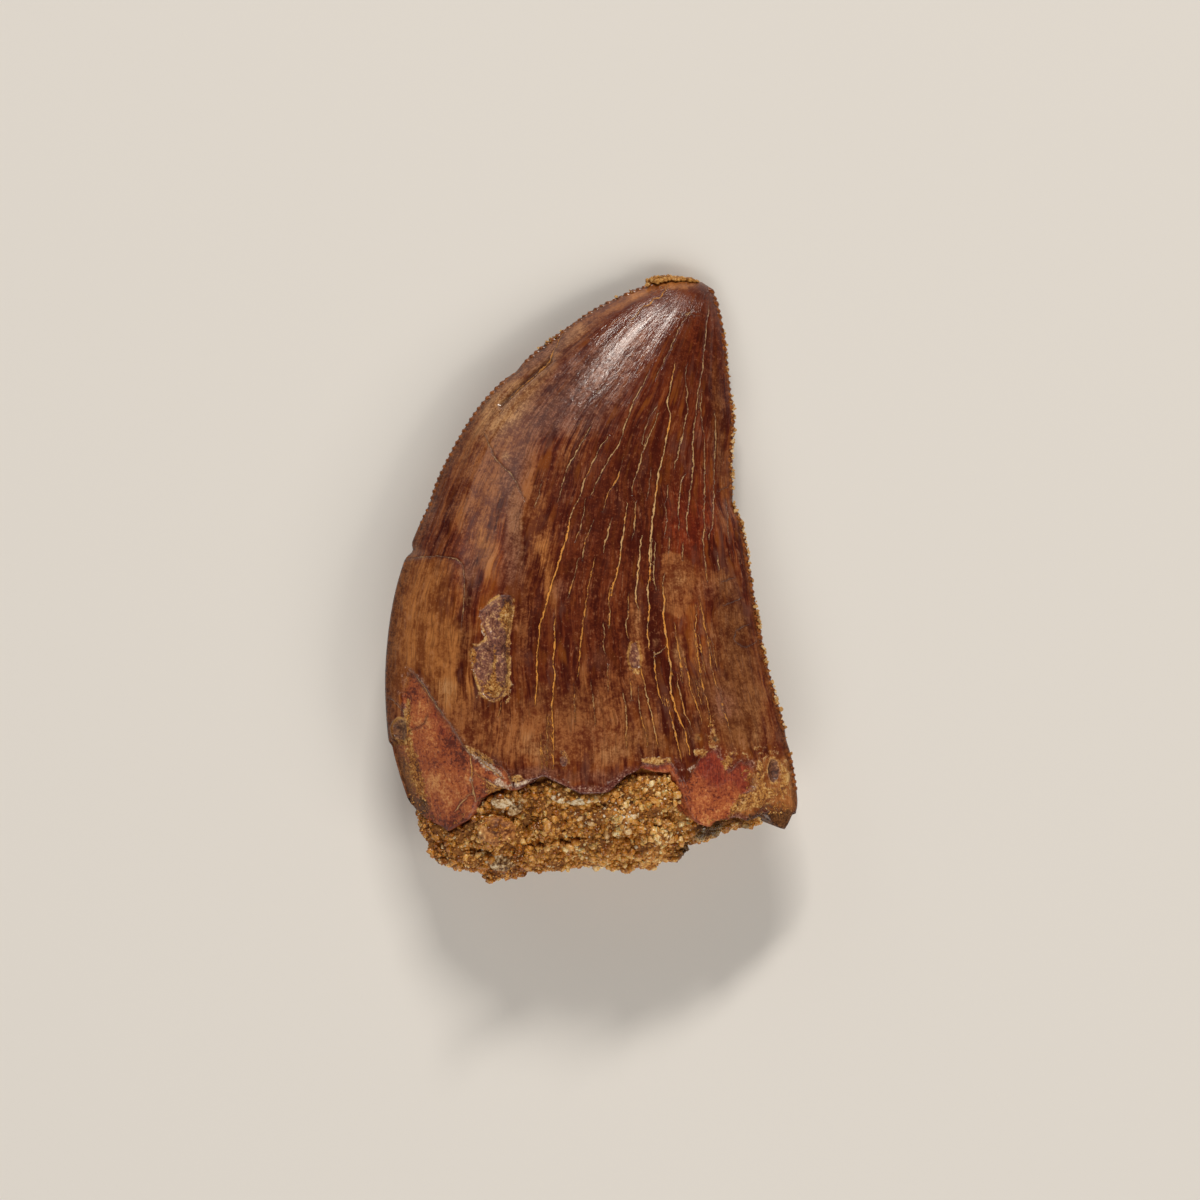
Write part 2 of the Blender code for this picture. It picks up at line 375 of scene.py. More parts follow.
# hollows: outline, depth in mm, floor colour from 0 purple-brown to 1 dark olive, golden rim
hollows = {
    "longPit": (((478, 612), (486, 606), (494, 600), (500, 596), (512, 595), (514, 604), (511, 626),
        (507, 644), (510, 662), (509, 680), (506.5, 692), (496, 700), (484, 695), (478, 681), (472, 662),
        (472.5, 646), (479, 645), (487, 639), (483, 626)), 0.32, 0.0, 1.0),
    "smallPit": (((631, 643), (637, 643), (640, 655), (639, 666), (632, 668), (628, 657)), 0.2, 0.0, 0.6),
    "rearPit": (((771, 758), (777, 759), (780.5, 768), (779, 778), (774, 783), (769, 779), (767.5, 768)),
        0.32, 0.4, 1.0),
    "frontPit": (((398, 719), (405, 721), (407, 731), (405, 739), (399, 741), (393, 736), (392, 726)),
        0.25, 0.6, 0.9),
    "pores": (((560, 755), (566, 753), (569, 759), (567, 765), (562, 765), (559, 760)), 0.16, 0.2, 0.7),
    "hole": (((713, 735), (717, 735), (717.5, 740), (714, 741.5), (711.5, 738)), 0.16, 1.0, 0.2),
    "nick": (((696, 734), (700, 735), (700, 739), (696, 740)), 0.12, 1.0, 0.2),
}

# cracks filled with sediment: width in pixels, paleness, golden share, points
cracks = (
    (1.8, 0.6, 0.2, ((710, 301), (708, 321), (705, 347), (703.5, 365), (701, 379), (698, 396),
        (696.5, 412), (694, 429), (692.7, 449), (693.3, 462), (692, 481), (690, 491), (689, 504),
        (687, 518), (687, 527), (689, 537))),
    (1.2, 0.55, 0.3, ((703, 390), (701, 409), (703, 425), (705, 444), (705, 469), (704.8, 490),
        (704, 511), (705, 528), (703.5, 543), (705.5, 559), (706, 566), (707.5, 580))),
    (1.1, 0.5, 0.1, ((715.7, 412), (716.3, 441), (715, 456), (714.4, 482), (714.4, 493), (713.8, 508),
        (713, 524), (709, 538))),
    (1.0, 0.35, 0.1, ((726.5, 499), (728, 515), (728.4, 528), (729.7, 541))),
    (1.6, 0.55, 0.1, ((694, 305), (687.6, 314), (681, 325), (675, 338), (668.4, 352), (662, 365),
        (656, 378))),
    (1.5, 0.55, 0.1, ((687.6, 363), (685.6, 375), (687.6, 390), (687, 400), (688.8, 408), (685.6, 420),
        (683, 432), (678, 453), (674, 468))),
    (1.5, 0.7, 0.2, ((685, 474), (681, 482), (679.3, 499), (678, 511), (678.7, 529))),
    (2.4, 0.95, 0.35, ((675.4, 363), (672, 380), (667.5, 401), (670.4, 416), (667.3, 432), (664, 449),
        (660.3, 466), (657.7, 477), (656.4, 492), (655, 502), (652, 519), (651.5, 531), (650, 548),
        (649.5, 566), (648.8, 579), (647, 589), (648.8, 604), (648.4, 615), (647, 628), (648.5, 647))),
    (1.5, 0.7, 0.1, ((654.4, 543), (654, 561), (653.5, 578), (656, 590))),
    (1.6, 0.7, 0.1, ((649.3, 372), (643, 385), (635.5, 397), (630.5, 411), (625, 425), (620.6, 441),
        (611.8, 455), (603, 471), (595.3, 485.5), (591.4, 496))),
    (1.2, 0.5, 0.1, ((657.3, 406), (650, 417), (645, 430), (641.5, 445))),
    (1.6, 0.65, 0.2, ((658, 414), (653, 427), (648, 440), (641.7, 455), (639, 467), (634, 481),
        (632, 495))),
    (1.0, 0.4, 0.1, ((650.6, 469), (648.7, 488), (646.8, 499))),
    (2.4, 0.9, 0.3, ((627, 504), (624.7, 520), (622, 542), (619, 564), (614, 582), (612, 596))),
    (1.9, 0.8, 0.2, ((610.4, 588), (608.2, 601), (609.5, 611), (609, 622), (608, 631))),
    (1.4, 0.6, 0.2, ((636, 501), (634, 530), (632, 538))),
    (2.4, 1.0, 0.1, ((641, 536), (639, 559), (637.4, 577), (636, 590), (635.7, 601), (638, 608))),
    (1.0, 0.45, 0.1, ((667.8, 486), (667, 497), (665, 506), (667, 518), (664.6, 536))),
    (1.2, 0.55, 0.1, ((669, 538), (669, 552))),
    (1.2, 0.55, 0.1, ((682.5, 544), (682.5, 559))),
    (1.8, 0.85, 0.0, ((718, 555), (719, 569))),
    (1.5, 0.3, 0.0, ((606, 383), (596, 393), (585.5, 403), (576, 418))),
    (1.6, 0.65, 0.1, ((590, 427), (584, 439), (577.4, 451), (569, 465), (564.6, 476.5), (562, 488),
        (558, 502))),
    (1.1, 0.4, 0.1, ((541.7, 483), (539, 497), (535, 507))),
    (1.6, 0.65, 0.2, ((608, 437), (599, 450), (595, 459), (585, 479), (581, 493), (576, 505), (571, 515),
        (569, 531))),
    (1.3, 0.5, 0.1, ((586, 499.5), (584, 512), (581, 527), (576, 540))),
    (1.6, 0.65, 0.6, ((623, 457), (621, 468), (615.7, 482), (608, 494), (603, 512))),
    (1.6, 0.7, 0.2, ((594, 520), (587, 537), (584, 547), (583, 561))),
    (2.5, 0.95, 0.6, ((578, 500), (570.6, 519), (565.7, 542), (560.8, 557), (556, 573), (550.6, 589),
        (545, 610), (541, 624), (540, 634), (537.5, 655), (537.5, 683), (536, 703))),
    (1.7, 0.75, 0.2, ((612, 518.6), (608, 534), (606, 540), (604, 547), (603, 552))),
    (1.7, 0.7, 0.5, ((595, 558), (588.5, 587), (586, 606), (583.4, 619), (582, 636), (580, 650),
        (579.5, 666), (577, 678))),
    (1.3, 0.55, 0.2, ((578.7, 559), (573.6, 579), (568, 598))),
    (1.2, 0.55, 0.2, ((602.5, 622), (604.4, 634), (603, 644), (605.7, 654))),
    (1.5, 0.65, 0.2, ((628.6, 594), (627.4, 615), (625.5, 626), (628, 638))),
    (1.9, 0.8, 0.5, ((653, 652), (654.8, 673), (657.4, 690), (660, 696), (662.4, 703))),
    (2.4, 0.95, 0.35, ((664.4, 574), (662.6, 587), (663.7, 603), (663, 617), (665.5, 633.5), (667.3, 647),
        (669.5, 662), (670.2, 674), (669.8, 689), (673, 700), (676.3, 712), (682.8, 727), (685.6, 738),
        (689, 754))),
    (1.7, 0.75, 0.2, ((674.4, 625), (675.5, 638), (678.6, 650), (680.3, 665), (681.6, 681))),
    (1.7, 0.75, 0.9, ((684, 658), (687.5, 676), (691, 693), (696.8, 707), (701, 720))),
    (1.7, 0.75, 1.0, ((695.5, 605), (696, 621), (694.8, 633), (696.6, 651), (699, 667), (700, 674),
        (703.3, 691), (706.5, 702))),
    (1.4, 0.65, 0.9, ((698, 635), (701, 650), (703.8, 667), (705, 672))),
    (1.4, 0.65, 0.9, ((695, 680), (698, 694), (701, 703))),
    (1.4, 0.65, 0.9, ((698.8, 597), (703.3, 619), (707.3, 639), (709.4, 658), (712.8, 673),
        (717.4, 689))),
    (1.2, 0.6, 0.9, ((712, 640), (714, 655), (717, 668))),
    (1.2, 0.6, 0.9, ((721, 690), (724, 712), (729, 728))),
    (1.1, 0.5, 0.8, ((706, 700), (709, 716), (710, 728))),
    (1.2, 0.5, 0.3, ((720.7, 701), (722, 710))),
    (1.9, 0.85, 0.2, ((640, 666), (644, 681), (646.5, 695), (649.5, 707), (652.6, 721), (655.4, 735),
        (657.5, 744))),
    (1.5, 0.6, 0.2, ((629, 679), (631, 691), (631, 699))),
    (1.5, 0.75, 0.1, ((622.5, 690), (626, 710), (626, 731), (626.7, 746))),
    (1.3, 0.6, 0.2, ((638, 685), (639.3, 710), (646.3, 735), (647, 744))),
    (1.8, 0.75, 0.5, ((666, 697), (669.5, 713), (674.4, 730), (676.5, 741), (681.4, 762))),
    (1.6, 0.7, 0.2, ((676, 673.5), (678.4, 687), (681.4, 702), (684, 713), (687.7, 718.6), (692.6, 730))),
    (1.1, 0.5, 0.1, ((607.6, 666), (608, 691))),
    (1.0, 0.4, 0.1, ((591, 680), (595.6, 723))),
    (2.2, 0.9, 0.45, ((555.3, 619), (554.7, 646.7), (553.4, 659), (555, 678), (552.5, 703), (554, 733),
        (554, 766))),
    (1.3, 0.6, 0.9, ((541, 733), (542.5, 769))),
    (1.1, 0.5, 0.2, ((548, 716), (547.5, 766))),
    (1.1, 0.5, 0.2, ((574, 683), (575.7, 720))),
    (1.3, 0.55, 0.9, ((502.7, 701), (498.6, 716))),
    (0.6, 0.6, 0.0, ((653.5, 655.6), (663.7, 648))),
    (1.0, 0.5, 0.0, ((678.6, 314), (688.8, 312.5), (700, 314))),
    (3.4, 0.9, 0.7, ((668, 283), (665, 289), (660, 296), (655, 297), (649, 303.6), (643, 305), (638, 312),
        (631, 319))),
    (1.2, 0.4, 0.1, ((485, 435), (497, 460), (512, 475), (525, 500))),
    (1.1, 0.4, 0.0, ((407, 558), (430, 556.5), (448, 557), (462, 564), (465, 590), (462, 628))),
    (1.1, 0.3, 0.4, ((385, 697), (393, 701), (402, 710))),
    (1.1, 0.0, 0.0, ((722.7, 581), (733, 578))),
    (1.1, 0.0, 0.0, ((724.7, 605), (742, 598))),
    (1.1, 0.0, 0.0, ((738, 629), (749, 625))),
    (1.1, 0.0, 0.0, ((736, 631), (735, 641), (746, 647), (757, 642))),
    (1.1, 0.0, 0.0, ((720.8, 490), (728.4, 486))),
    (2.6, 0.0, 0.0, ((752, 816), (760, 809), (767, 805), (775, 808), (783, 812))),
    # broken golden line inside the front band
    (1.8, 0.6, 0.8, ((563, 331), (556, 346), (548, 360), (535, 372), (520, 385), (508, 398), (500, 412))),
    # in the red dentine
    (2.0, 0.95, 0.1, ((416, 676), (430, 696), (441, 713))),
    (2.2, 0.8, 0.1, ((470, 753), (471, 773), (472, 789), (474.5, 801))),
    (1.6, 0.9, 0.1, ((453, 811), (466, 796), (470, 794))),
    (1.6, 0.0, 0.0, ((408, 731), (420, 725), (426, 715.5))),
    (1.4, 0.6, 1.0, ((409, 698), (407, 718), (406, 739.5))),
    (2.6, 0.85, 0.3, ((474.5, 773), (494, 784), (504, 789))),
    (1.6, 0.8, 0.3, ((478, 757), (490, 768), (503, 777))),
)

# soft patches of each tone: centre, half sizes, turn in degrees, amount
tones = {
    "tanTone": (
        (510, 415, 24, 34, -40, 1.3), (498, 460, 30, 30, 0, 0.7), (478, 500, 30, 60, -20, 0.75),
        (535, 520, 16, 50, 10, 0.7), (520, 600, 12, 60, 5, 0.5), (450, 640, 60, 60, 0, 0.3),
        (560, 738, 120, 34, 0, 0.75), (620, 700, 60, 40, 0, 0.4), (638, 636, 9, 44, 2, 1.0),
        (700, 584, 30, 20, 10, 0.5), (684, 644, 14, 26, 0, 0.4), (450, 715, 40, 34, 0, 0.6),
        (560, 345, 60, 14, 38, 0.7), (505, 395, 50, 12, 50, 0.6), (760, 720, 20, 40, 15, 0.5),
        (575, 445, 14, 34, -30, 0.4),
    ),
    # grey-purple patches: most of them, in the upper left, are a painted sheen; the rest are grey-purple
    # colour near the base and the pits
    "greyTone": (
        (590, 388, 40, 36, -40, 0.85), (545, 415, 26, 30, -40, 0.7), (545, 350, 40, 12, 35, 0.6),
        (620, 350, 36, 20, 35, 0.8), (516, 470, 12, 26, -20, 0.8), (470, 575, 10, 26, 5, 0.7),
        (480, 385, 30, 10, 55, 0.5), (425, 520, 12, 30, -15, 0.4), (515, 540, 9, 50, 5, 0.9),
        (560, 590, 10, 14, 0, 0.4), (600, 775, 40, 8, 0, 0.5), (535, 770, 26, 6, 0, 0.7),
        (655, 640, 8, 16, 0, 0.4), (724, 704, 14, 20, 0, 0.6), (708, 660, 8, 30, 0, 0.3),
        (600, 660, 12, 20, 0, 0.35), (590, 735, 30, 20, 0, 0.3), (706, 590, 16, 14, 0, 0.4),
    ),
    "ochreTone": (
        (420, 600, 22, 44, 5, 1.0), (440, 655, 34, 26, 0, 0.55), (398, 660, 10, 40, -3, 0.9),
        (448, 690, 22, 20, 0, 0.45), (774, 784, 24, 30, 5, 1.0), (404, 780, 10, 34, 10, 0.7),
        (682, 281, 18, 5, 3, 1.3), (630, 297, 36, 6, 28, 0.7), (720, 420, 8, 60, 0, 0.2),
        (490, 690, 24, 20, 0, 0.3), (545, 560, 10, 50, 12, 0.5), (485, 545, 14, 34, 12, 0.6),
    ),
    "redTone": (
        (713, 762, 18, 18, 0, 1.1), (746, 774, 11, 15, 0, 1.1), (722, 792, 20, 24, 0, 0.35),
        (655, 765, 18, 4, 0, 0.8), (438, 722, 12, 26, 30, 0.5), (690, 524, 28, 40, 5, 0.75),
        (700, 340, 12, 40, 5, 0.3), (700, 430, 16, 60, 0, 0.25), (620, 560, 20, 60, 10, 0.1),
        (470, 540, 18, 50, -20, 0.4), (610, 690, 30, 30, 0, 0.2), (738, 690, 16, 24, 0, 0.35),
        (462, 590, 10, 50, 0, 0.35), (500, 560, 10, 40, 5, 0.3), (470, 500, 18, 60, -15, 0.45),
    ),
    "darkTone": (
        (600, 560, 60, 90, 10, 0.8), (640, 470, 50, 70, 20, 0.6), (680, 350, 22, 60, 20, 0.7),
        (720, 590, 14, 40, 0, 0.6), (655, 640, 7, 80, 2, 1.0), (622, 640, 7, 60, 3, 0.8),
        (745, 640, 8, 50, 10, 0.6), (520, 640, 14, 40, 0, 0.5), (610, 640, 26, 40, 0, 0.4),
        (760, 745, 12, 12, 0, 0.5), (565, 470, 14, 50, -30, 0.4), (520, 700, 14, 30, 0, 0.3),
        (455, 700, 12, 30, 0, 0.6), (424, 582, 16, 16, 0, 0.5), (466, 640, 6, 50, 0, 0.6),
        (446, 510, 18, 60, -18, 0.7), (480, 460, 8, 50, -25, 0.4), (425, 690, 16, 16, 0, 0.4),
        (535, 610, 16, 80, 6, 0.6), (716, 350, 12, 90, 2, 1.0), (704, 316, 14, 30, 0, 0.9),
        (596, 700, 36, 34, 0, 0.9), (585, 590, 24, 50, 6, 0.4), (470, 620, 6, 50, 0, 0.4),
    ),
    "paleTone": (
        (508, 410, 20, 32, -40, 1.0), (560, 345, 40, 8, 38, 0.6), (516, 520, 8, 50, 5, 0.7),
        (540, 380, 24, 10, 45, 0.4), (506, 457, 4, 4, 0, 0.9), (520, 790, 10, 5, -20, 0.5),
        (468, 590, 6, 30, 5, 0.35), (655, 640, 5, 12, 0, 0.4), (590, 388, 24, 16, -40, 0.3),
        (500, 612, 12, 10, 0, 0.4), (445, 690, 16, 16, 0, 0.3), (498, 405, 16, 12, -40, 0.5),
        (638, 622, 7, 22, 0, 0.45), (676, 580, 12, 18, 0, 0.5), (678, 652, 7, 12, 0, 0.5),
        (540, 745, 30, 14, 0, 0.35), (610, 752, 24, 14, 0, 0.3), (758, 730, 10, 20, 10, 0.3),
    ),
    # golden crumbly sediment
    "goldTone": (
        (506, 612, 8, 18, 0, 0.85), (492, 688, 17, 13, 0, 0.7), (509, 652, 3, 40, 0, 0.9),
        (474, 655, 3, 12, 0, 0.8), (494, 660, 2, 28, -4, 0.8), (415, 775, 7, 36, 13, 1.0),
        (407, 714, 3, 22, 0, 0.8), (762, 750, 12, 6, 0, 0.6), (784, 778, 5, 16, 0, 0.55),
        (760, 775, 4, 16, 0, 0.7), (772, 792, 14, 5, 0, 0.5), (756, 802, 12, 7, 0, 0.7),
        (739, 803, 4, 15, -38, 1.2), (712, 736, 8, 14, 0, 0.5), (734, 754, 12, 8, 0, 0.5),
        (481, 754, 20, 4, -29, 1.0), (517, 777, 8, 4, 0, 0.9), (656, 759, 18, 4, 0, 0.8),
        (494, 788, 16, 6, -30, 0.8), (500, 800, 10, 9, 0, 1.1), (635, 670, 5, 3, 0, 0.9),
        (563, 752, 4, 3, 0, 1.0), (700, 752, 8, 6, 0, 0.7), (400, 742, 8, 3, 0, 0.8),
        (748, 775, 8, 12, 0, 0.45), (395, 760, 8, 30, 8, 0.4), (727, 762, 6, 6, 0, 0.7),
    ),
    # whitish crust
    "creamTone": (
        (478, 756, 16, 4, -35, 1.0), (492, 768, 14, 5, -30, 0.8), (500, 784, 14, 5, -25, 1.0),
        (484, 790, 7, 6, 0, 0.7), (525, 781, 14, 3, 10, 0.7), (470, 775, 3, 14, 0, 0.5),
        (560, 783, 12, 3, 20, 0.5), (620, 781, 10, 3, -30, 0.5), (690, 768, 4, 12, -30, 0.6),
        (636, 668, 5, 3, 0, 0.6), (484, 632, 2.5, 10, 20, 0.8), (700, 716, 3, 8, 0, 0.4),
    ),
    # painted shade, mostly at the lower corners where the broken base turns under
    "shadeTone": (
        (418, 808, 12, 12, 0, 1.0), (778, 819, 16, 6, 0, 0.9), (758, 822, 12, 5, 0, 0.9),
        (402, 795, 8, 20, 10, 0.7), (771, 768, 12, 18, 0, 0.2),
    ),
    "wrinkleTone": (
        (640, 325, 90, 34, 40, 1.0), (590, 385, 50, 30, 40, 0.7), (700, 300, 14, 30, 0, 0.4),
    ),
    "oliveTone": (
        (716, 390, 9, 60, 2, 0.3), (735, 640, 20, 70, 8, 0.8), (722, 460, 10, 70, 2, 0.4),
        (740, 720, 30, 40, 10, 0.6), (560, 700, 60, 30, 0, 0.4), (650, 740, 50, 20, 0, 0.5),
        (455, 640, 20, 24, 0, 0.5), (700, 690, 26, 40, 0, 0.4), (530, 375, 40, 14, 42, 0.4),
        (470, 440, 14, 40, -20, 0.4),
    ),
}
# patches with a clear edge: tone, amount, outline
blocks = (
    ("ochreTone", 0.3, ((380, 568), (414, 558), (430, 557), (448, 558), (462, 566), (466, 590),
        (463, 625), (460, 650), (436, 670), (376, 660))),
    # a grey strip of painted sheen
    ("greyTone", 0.4, ((512, 474), (521, 486), (524, 502), (519, 530), (516, 560), (514, 600), (500, 612),
        (486, 628), (480, 618), (490, 604), (497, 590), (503, 560), (506, 530), (508, 500))),
    ("tanTone", 0.75, ((661, 556), (668, 552), (684, 556), (692, 566), (694, 585), (690, 604), (678, 618),
        (664, 612), (660, 580))),
    ("goldTone", 0.2, ((757, 764), (770, 748), (786, 752), (793, 775), (799, 800), (786, 809), (765, 806),
        (748, 812), (738, 812), (746, 794), (757, 786))),
    ("ochreTone", 0.9, ((757, 768), (785, 756), (800, 800), (790, 830), (728, 830), (731, 814),
        (748, 792), (757, 786))),
    # painted shade along the underside of the rear corner
    ("shadeTone", 0.4, ((762, 804), (780, 801), (797, 803), (790, 824), (782, 834), (768, 822),
        (745, 822), (748, 814))),
)
print("features placed")


def outlineDepth(outline, points):
    # mm inside a closed outline, below zero outside it
    ends = np.roll(outline, -1, axis=0)
    nearest = np.full(len(points), 1e9)
    inside = np.zeros(len(points), bool)
    for a, b in zip(outline, ends):
        along = b - a
        t = np.clip((points - a) @ along / max(along @ along, 1e-12), 0, 1)
        nearest = np.minimum(nearest, np.linalg.norm(points - a - t[:, None] * along, axis=1))
        rise = a[1] > points[:, 1]
        crosses = rise != (b[1] > points[:, 1])
        if abs(b[1] - a[1]) > 1e-9:
            inside ^= crosses & (points[:, 0] < a[0] + along[0] * (points[:, 1] - a[1]) / along[1])
    return np.where(inside, nearest, -nearest)


def softPatch(points, patch):
    # 1 in the middle of a soft oval, fading to 0
    x, y, halfX, halfY, turn, amount = patch
    centre = fromPhoto([(x, y)])[0]
    turned = math.radians(turn)
    dx, dy = (points - centre).T
    alongX = dx * math.cos(turned) + dy * math.sin(turned)
    alongY = dy * math.cos(turned) - dx * math.sin(turned)
    scale = photo["pixelsPerMm"]
    return amount * np.exp(-((alongX * scale / halfX) ** 2) - (alongY * scale / halfY) ** 2)


class CrackMap:
    # for each point: the nearest crack, the side of it, and that crack's look there
    far, reach = 9.0, 1.2

    def __init__(self, count):
        self.near = np.full(count, self.far)
        self.off = np.full(count, self.far)
        self.wide = np.zeros(count)
        self.pale = np.zeros(count)
        self.gold = np.zeros(count)

    def add(self, chosen, points, line, wide, pale, gold):
        # only points within reach of the line
        low, high = line.min(0) - self.reach, line.max(0) + self.reach
        close = np.all((points > low) & (points < high), axis=1)
        rows, p = chosen[close], points[close]
        along = lengthsAlong(line)
        best = np.full(len(p), self.far)
        side = np.zeros(len(p))
        place = np.zeros(len(p))
        for k, (a, b) in enumerate(zip(line, line[1:])):
            step = b - a
            length = max(np.linalg.norm(step), 1e-9)
            t = np.clip((p - a) @ step / length**2, 0, 1)
            gap = p - a - t[:, None] * step
            distance = np.linalg.norm(gap, axis=1)
            closer = distance < best
            best[closer] = distance[closer]
            side[closer] = np.sign(step[0] * gap[closer, 1] - step[1] * gap[closer, 0])
            place[closer] = along[k] + t[closer] * length
        fromEnd = np.minimum(place, along[-1] - place)
        taper = np.minimum(1, fromEnd / min(1.4, 0.4 * along[-1]) + 0.15) ** 0.5
        closer = best < self.near[rows]
        rows, best, side, taper = rows[closer], best[closer], side[closer], taper[closer]
        self.near[rows] = best
        self.off[rows] = best * np.where(side == 0, 1, side)
        self.wide[rows] = wide * taper
        self.pale[rows] = pale
        self.gold[rows] = gold


# Crown

rimAcross, rimDown = sharesAt(fromPhoto(crown["rimSeen"]))
rims = {True: sorted(zip(rimAcross, rimDown)), False: crown["rimBelow"]}


def crownGrid(columns, above):
    # shares across and down for every row under the tip, ending at the broken rim
    k = np.arange(columns + 1) / columns
    even = crown["evenShare"]
    across = even * k + (1 - even) * (0.5 - 0.5 * np.cos(math.pi * k))
    edge = rimAt(rims[above], across)
    level = np.zeros(len(across))
    ragged = wander(np.column_stack([across * crown["widthAtBase"], level, level + above]), 1.1, 5, 3)
    edge = edge + crown["rimRagged"] * ragged * ease(0, 0.05, across) * ease(0, 0.05, 1 - across)
    share = (np.arange(crown["rows"]) + 1) / crown["rows"]
    start = crown["rimStartsAt"]
    past = np.maximum(0.0, share - start) / (1 - start)
    down = np.minimum(share, start)[:, None] + past[:, None] * (edge - start)
    return np.broadcast_to(across, down.shape), down


def shapeCrown():
    overAcross, overDown = crownGrid(crown["columnsAbove"], True)
    underAcross, underDown = crownGrid(crown["columnsBelow"], False)
    across = np.hstack([overAcross, underAcross[:, -2:0:-1]])
    down = np.hstack([overDown, underDown[:, -2:0:-1]])
    isAbove = np.zeros(across.shape, bool)
    isAbove[:, : overAcross.shape[1]] = True
    ringSize = across.shape[1]
    across, down, isAbove = across.ravel(), down.ravel(), isAbove.ravel()
    points = crownPoints(across, down, isAbove)
    return points, across, down, isAbove, ringSize


points, across, down, isAbove, ringSize = shapeCrown()
seen = np.flatnonzero(isAbove)
seenXY = points[seen, :2]
count = len(points)


def facingOut(points, ringSize):
    # unit normals of the plain crown, from its own rows and columns
    grid = points.reshape(-1, ringSize, 3)
    aroundStep = np.roll(grid, -1, axis=1) - np.roll(grid, 1, axis=1)
    downStep = np.gradient(grid, axis=0)
    normal = np.cross(downStep, aroundStep).reshape(-1, 3)
    return normal / np.maximum(np.linalg.norm(normal, axis=1), 1e-9)[:, None]


normals = facingOut(points, ringSize)
if (normals[seen] @ (0, 0, 1)).mean() < 0:
    normals = -normals

# where the streaks of the enamel run, in mm round and along the crown
lean = crown["flowLean"] * (1 - across) * ease(0.75, 1.0, down) ** 2
fields = {
    "flowAt": (across + lean) * crown["widthAtBase"],
    "downAt": down * crown["lengthDown"],
    "sideAt": np.where(isAbove, 1, -1) * section(across) * crown["sideSpan"],
}

# enamel left on the crown, hollows in it
enamelIn = (rimAt(rims[False], across) - brokenBase["shareBelow"] - down) * crown["lengthDown"]
enamelIn[seen] = -outlineDepth(fromPhoto(brokenBase["outline"]), seenXY)
enamelIn += brokenBase["ragged"] * wander(points, 0.5, 3, 2)
enamelIn = np.clip(enamelIn, -3, 3)
fields["enamelIn"] = enamelIn
height = -brokenBase["depth"] * (1 - ease(-brokenBase["slope"], brokenBase["slope"], enamelIn))

rough = wander(points, 0.35, 11, 2)
fields["pitIn"] = np.full(count, -3.0)
for name in ("pitTone", "pitRim", "pitShow"):
    fields[name] = np.zeros(count)
for outline, depth, tone, rimShare in hollows.values():
    closed = smoothLine(fromPhoto((*outline, outline[0])), 4)
    inside = np.full(count, -3.0)
    inside[seen] = outlineDepth(closed, seenXY) + 0.03 * rough[seen]
    height -= ease(-0.04, min(0.35, 2.2 * depth), inside) * depth * (1 + 0.3 * rough)
    nearer = inside > fields["pitIn"]
    fields["pitIn"][nearer] = inside[nearer]
    fields["pitTone"][nearer] = tone
    fields["pitRim"][nearer] = rimShare
    fields["pitShow"][nearer] = min(1, depth / 0.15)
print("hollows cut")

# low relief in mm: flutes along the crown, a groove and a band beside the front edge
relief = {
    "flutes": 0.035, "swells": 0.02, "groove": 0.2, "grooveWidth": 0.17, "band": 0.05, "bandWidth": 0.45,
    "dentine": 0.05, "gold": 0.09, "rim": 0.12,
    "groovePoints": ((500, 404), (516, 388), (532, 374), (550, 359)),
    "bandPoints": (
        (652, 296), (618, 316), (590, 340), (556, 368), (520, 404), (494, 436), (476, 470), (462, 510)),
}
flow = np.column_stack([fields["flowAt"] / 1.5, fields["downAt"] / 14, fields["sideAt"] * 0.3])
middle = ease(0.02, 0.15, across) * ease(0.02, 0.12, 1 - across)
height += relief["flutes"] * wander(flow, 1.0, 21, 2) * middle * ease(0.03, 0.2, down)
height += relief["swells"] * wander(points, 2.6, 23, 2) * middle
groove, bandEdge = CrackMap(count), CrackMap(count)
groove.add(seen, seenXY, smoothLine(fromPhoto(relief["groovePoints"])), 1, 1, 1)
height -= relief["groove"] * np.exp(-((groove.near / relief["grooveWidth"]) ** 2))
# where the groove runs, for painted shadow in it
fields["grooveAt"] = np.exp(-((groove.near / 0.14) ** 2))
bandEdge.add(seen, seenXY, smoothLine(fromPhoto(relief["bandPoints"])), 1, 1, 1)
height += relief["band"] * np.exp(-((bandEdge.near / relief["bandWidth"]) ** 2))
dentine = 1 - ease(-0.1, 0.1, enamelIn)
lumps = relief["dentine"] * wander(points, 0.5, 31, 3) + relief["dentine"] * wander(points, 1.4, 33, 1)
height += dentine * lumps * middle


def wobbly(chosen, amount, size, seed):
    # sideways shifts in mm, which keep a crack from running too smoothly
    return amount * np.column_stack([wander(points[chosen], size, seed + k, 2) for k in (0, 2)])


# cracks
crackMap = CrackMap(count)
wobble = wobbly(seen, 0.05, 0.3, 41)
for wide, pale, gold, line in cracks:
    width = 0.03 + 0.32 * wide / photo["pixelsPerMm"]
    crackMap.add(seen, seenXY + wobble, smoothLine(fromPhoto(line), 5), width, pale, gold)

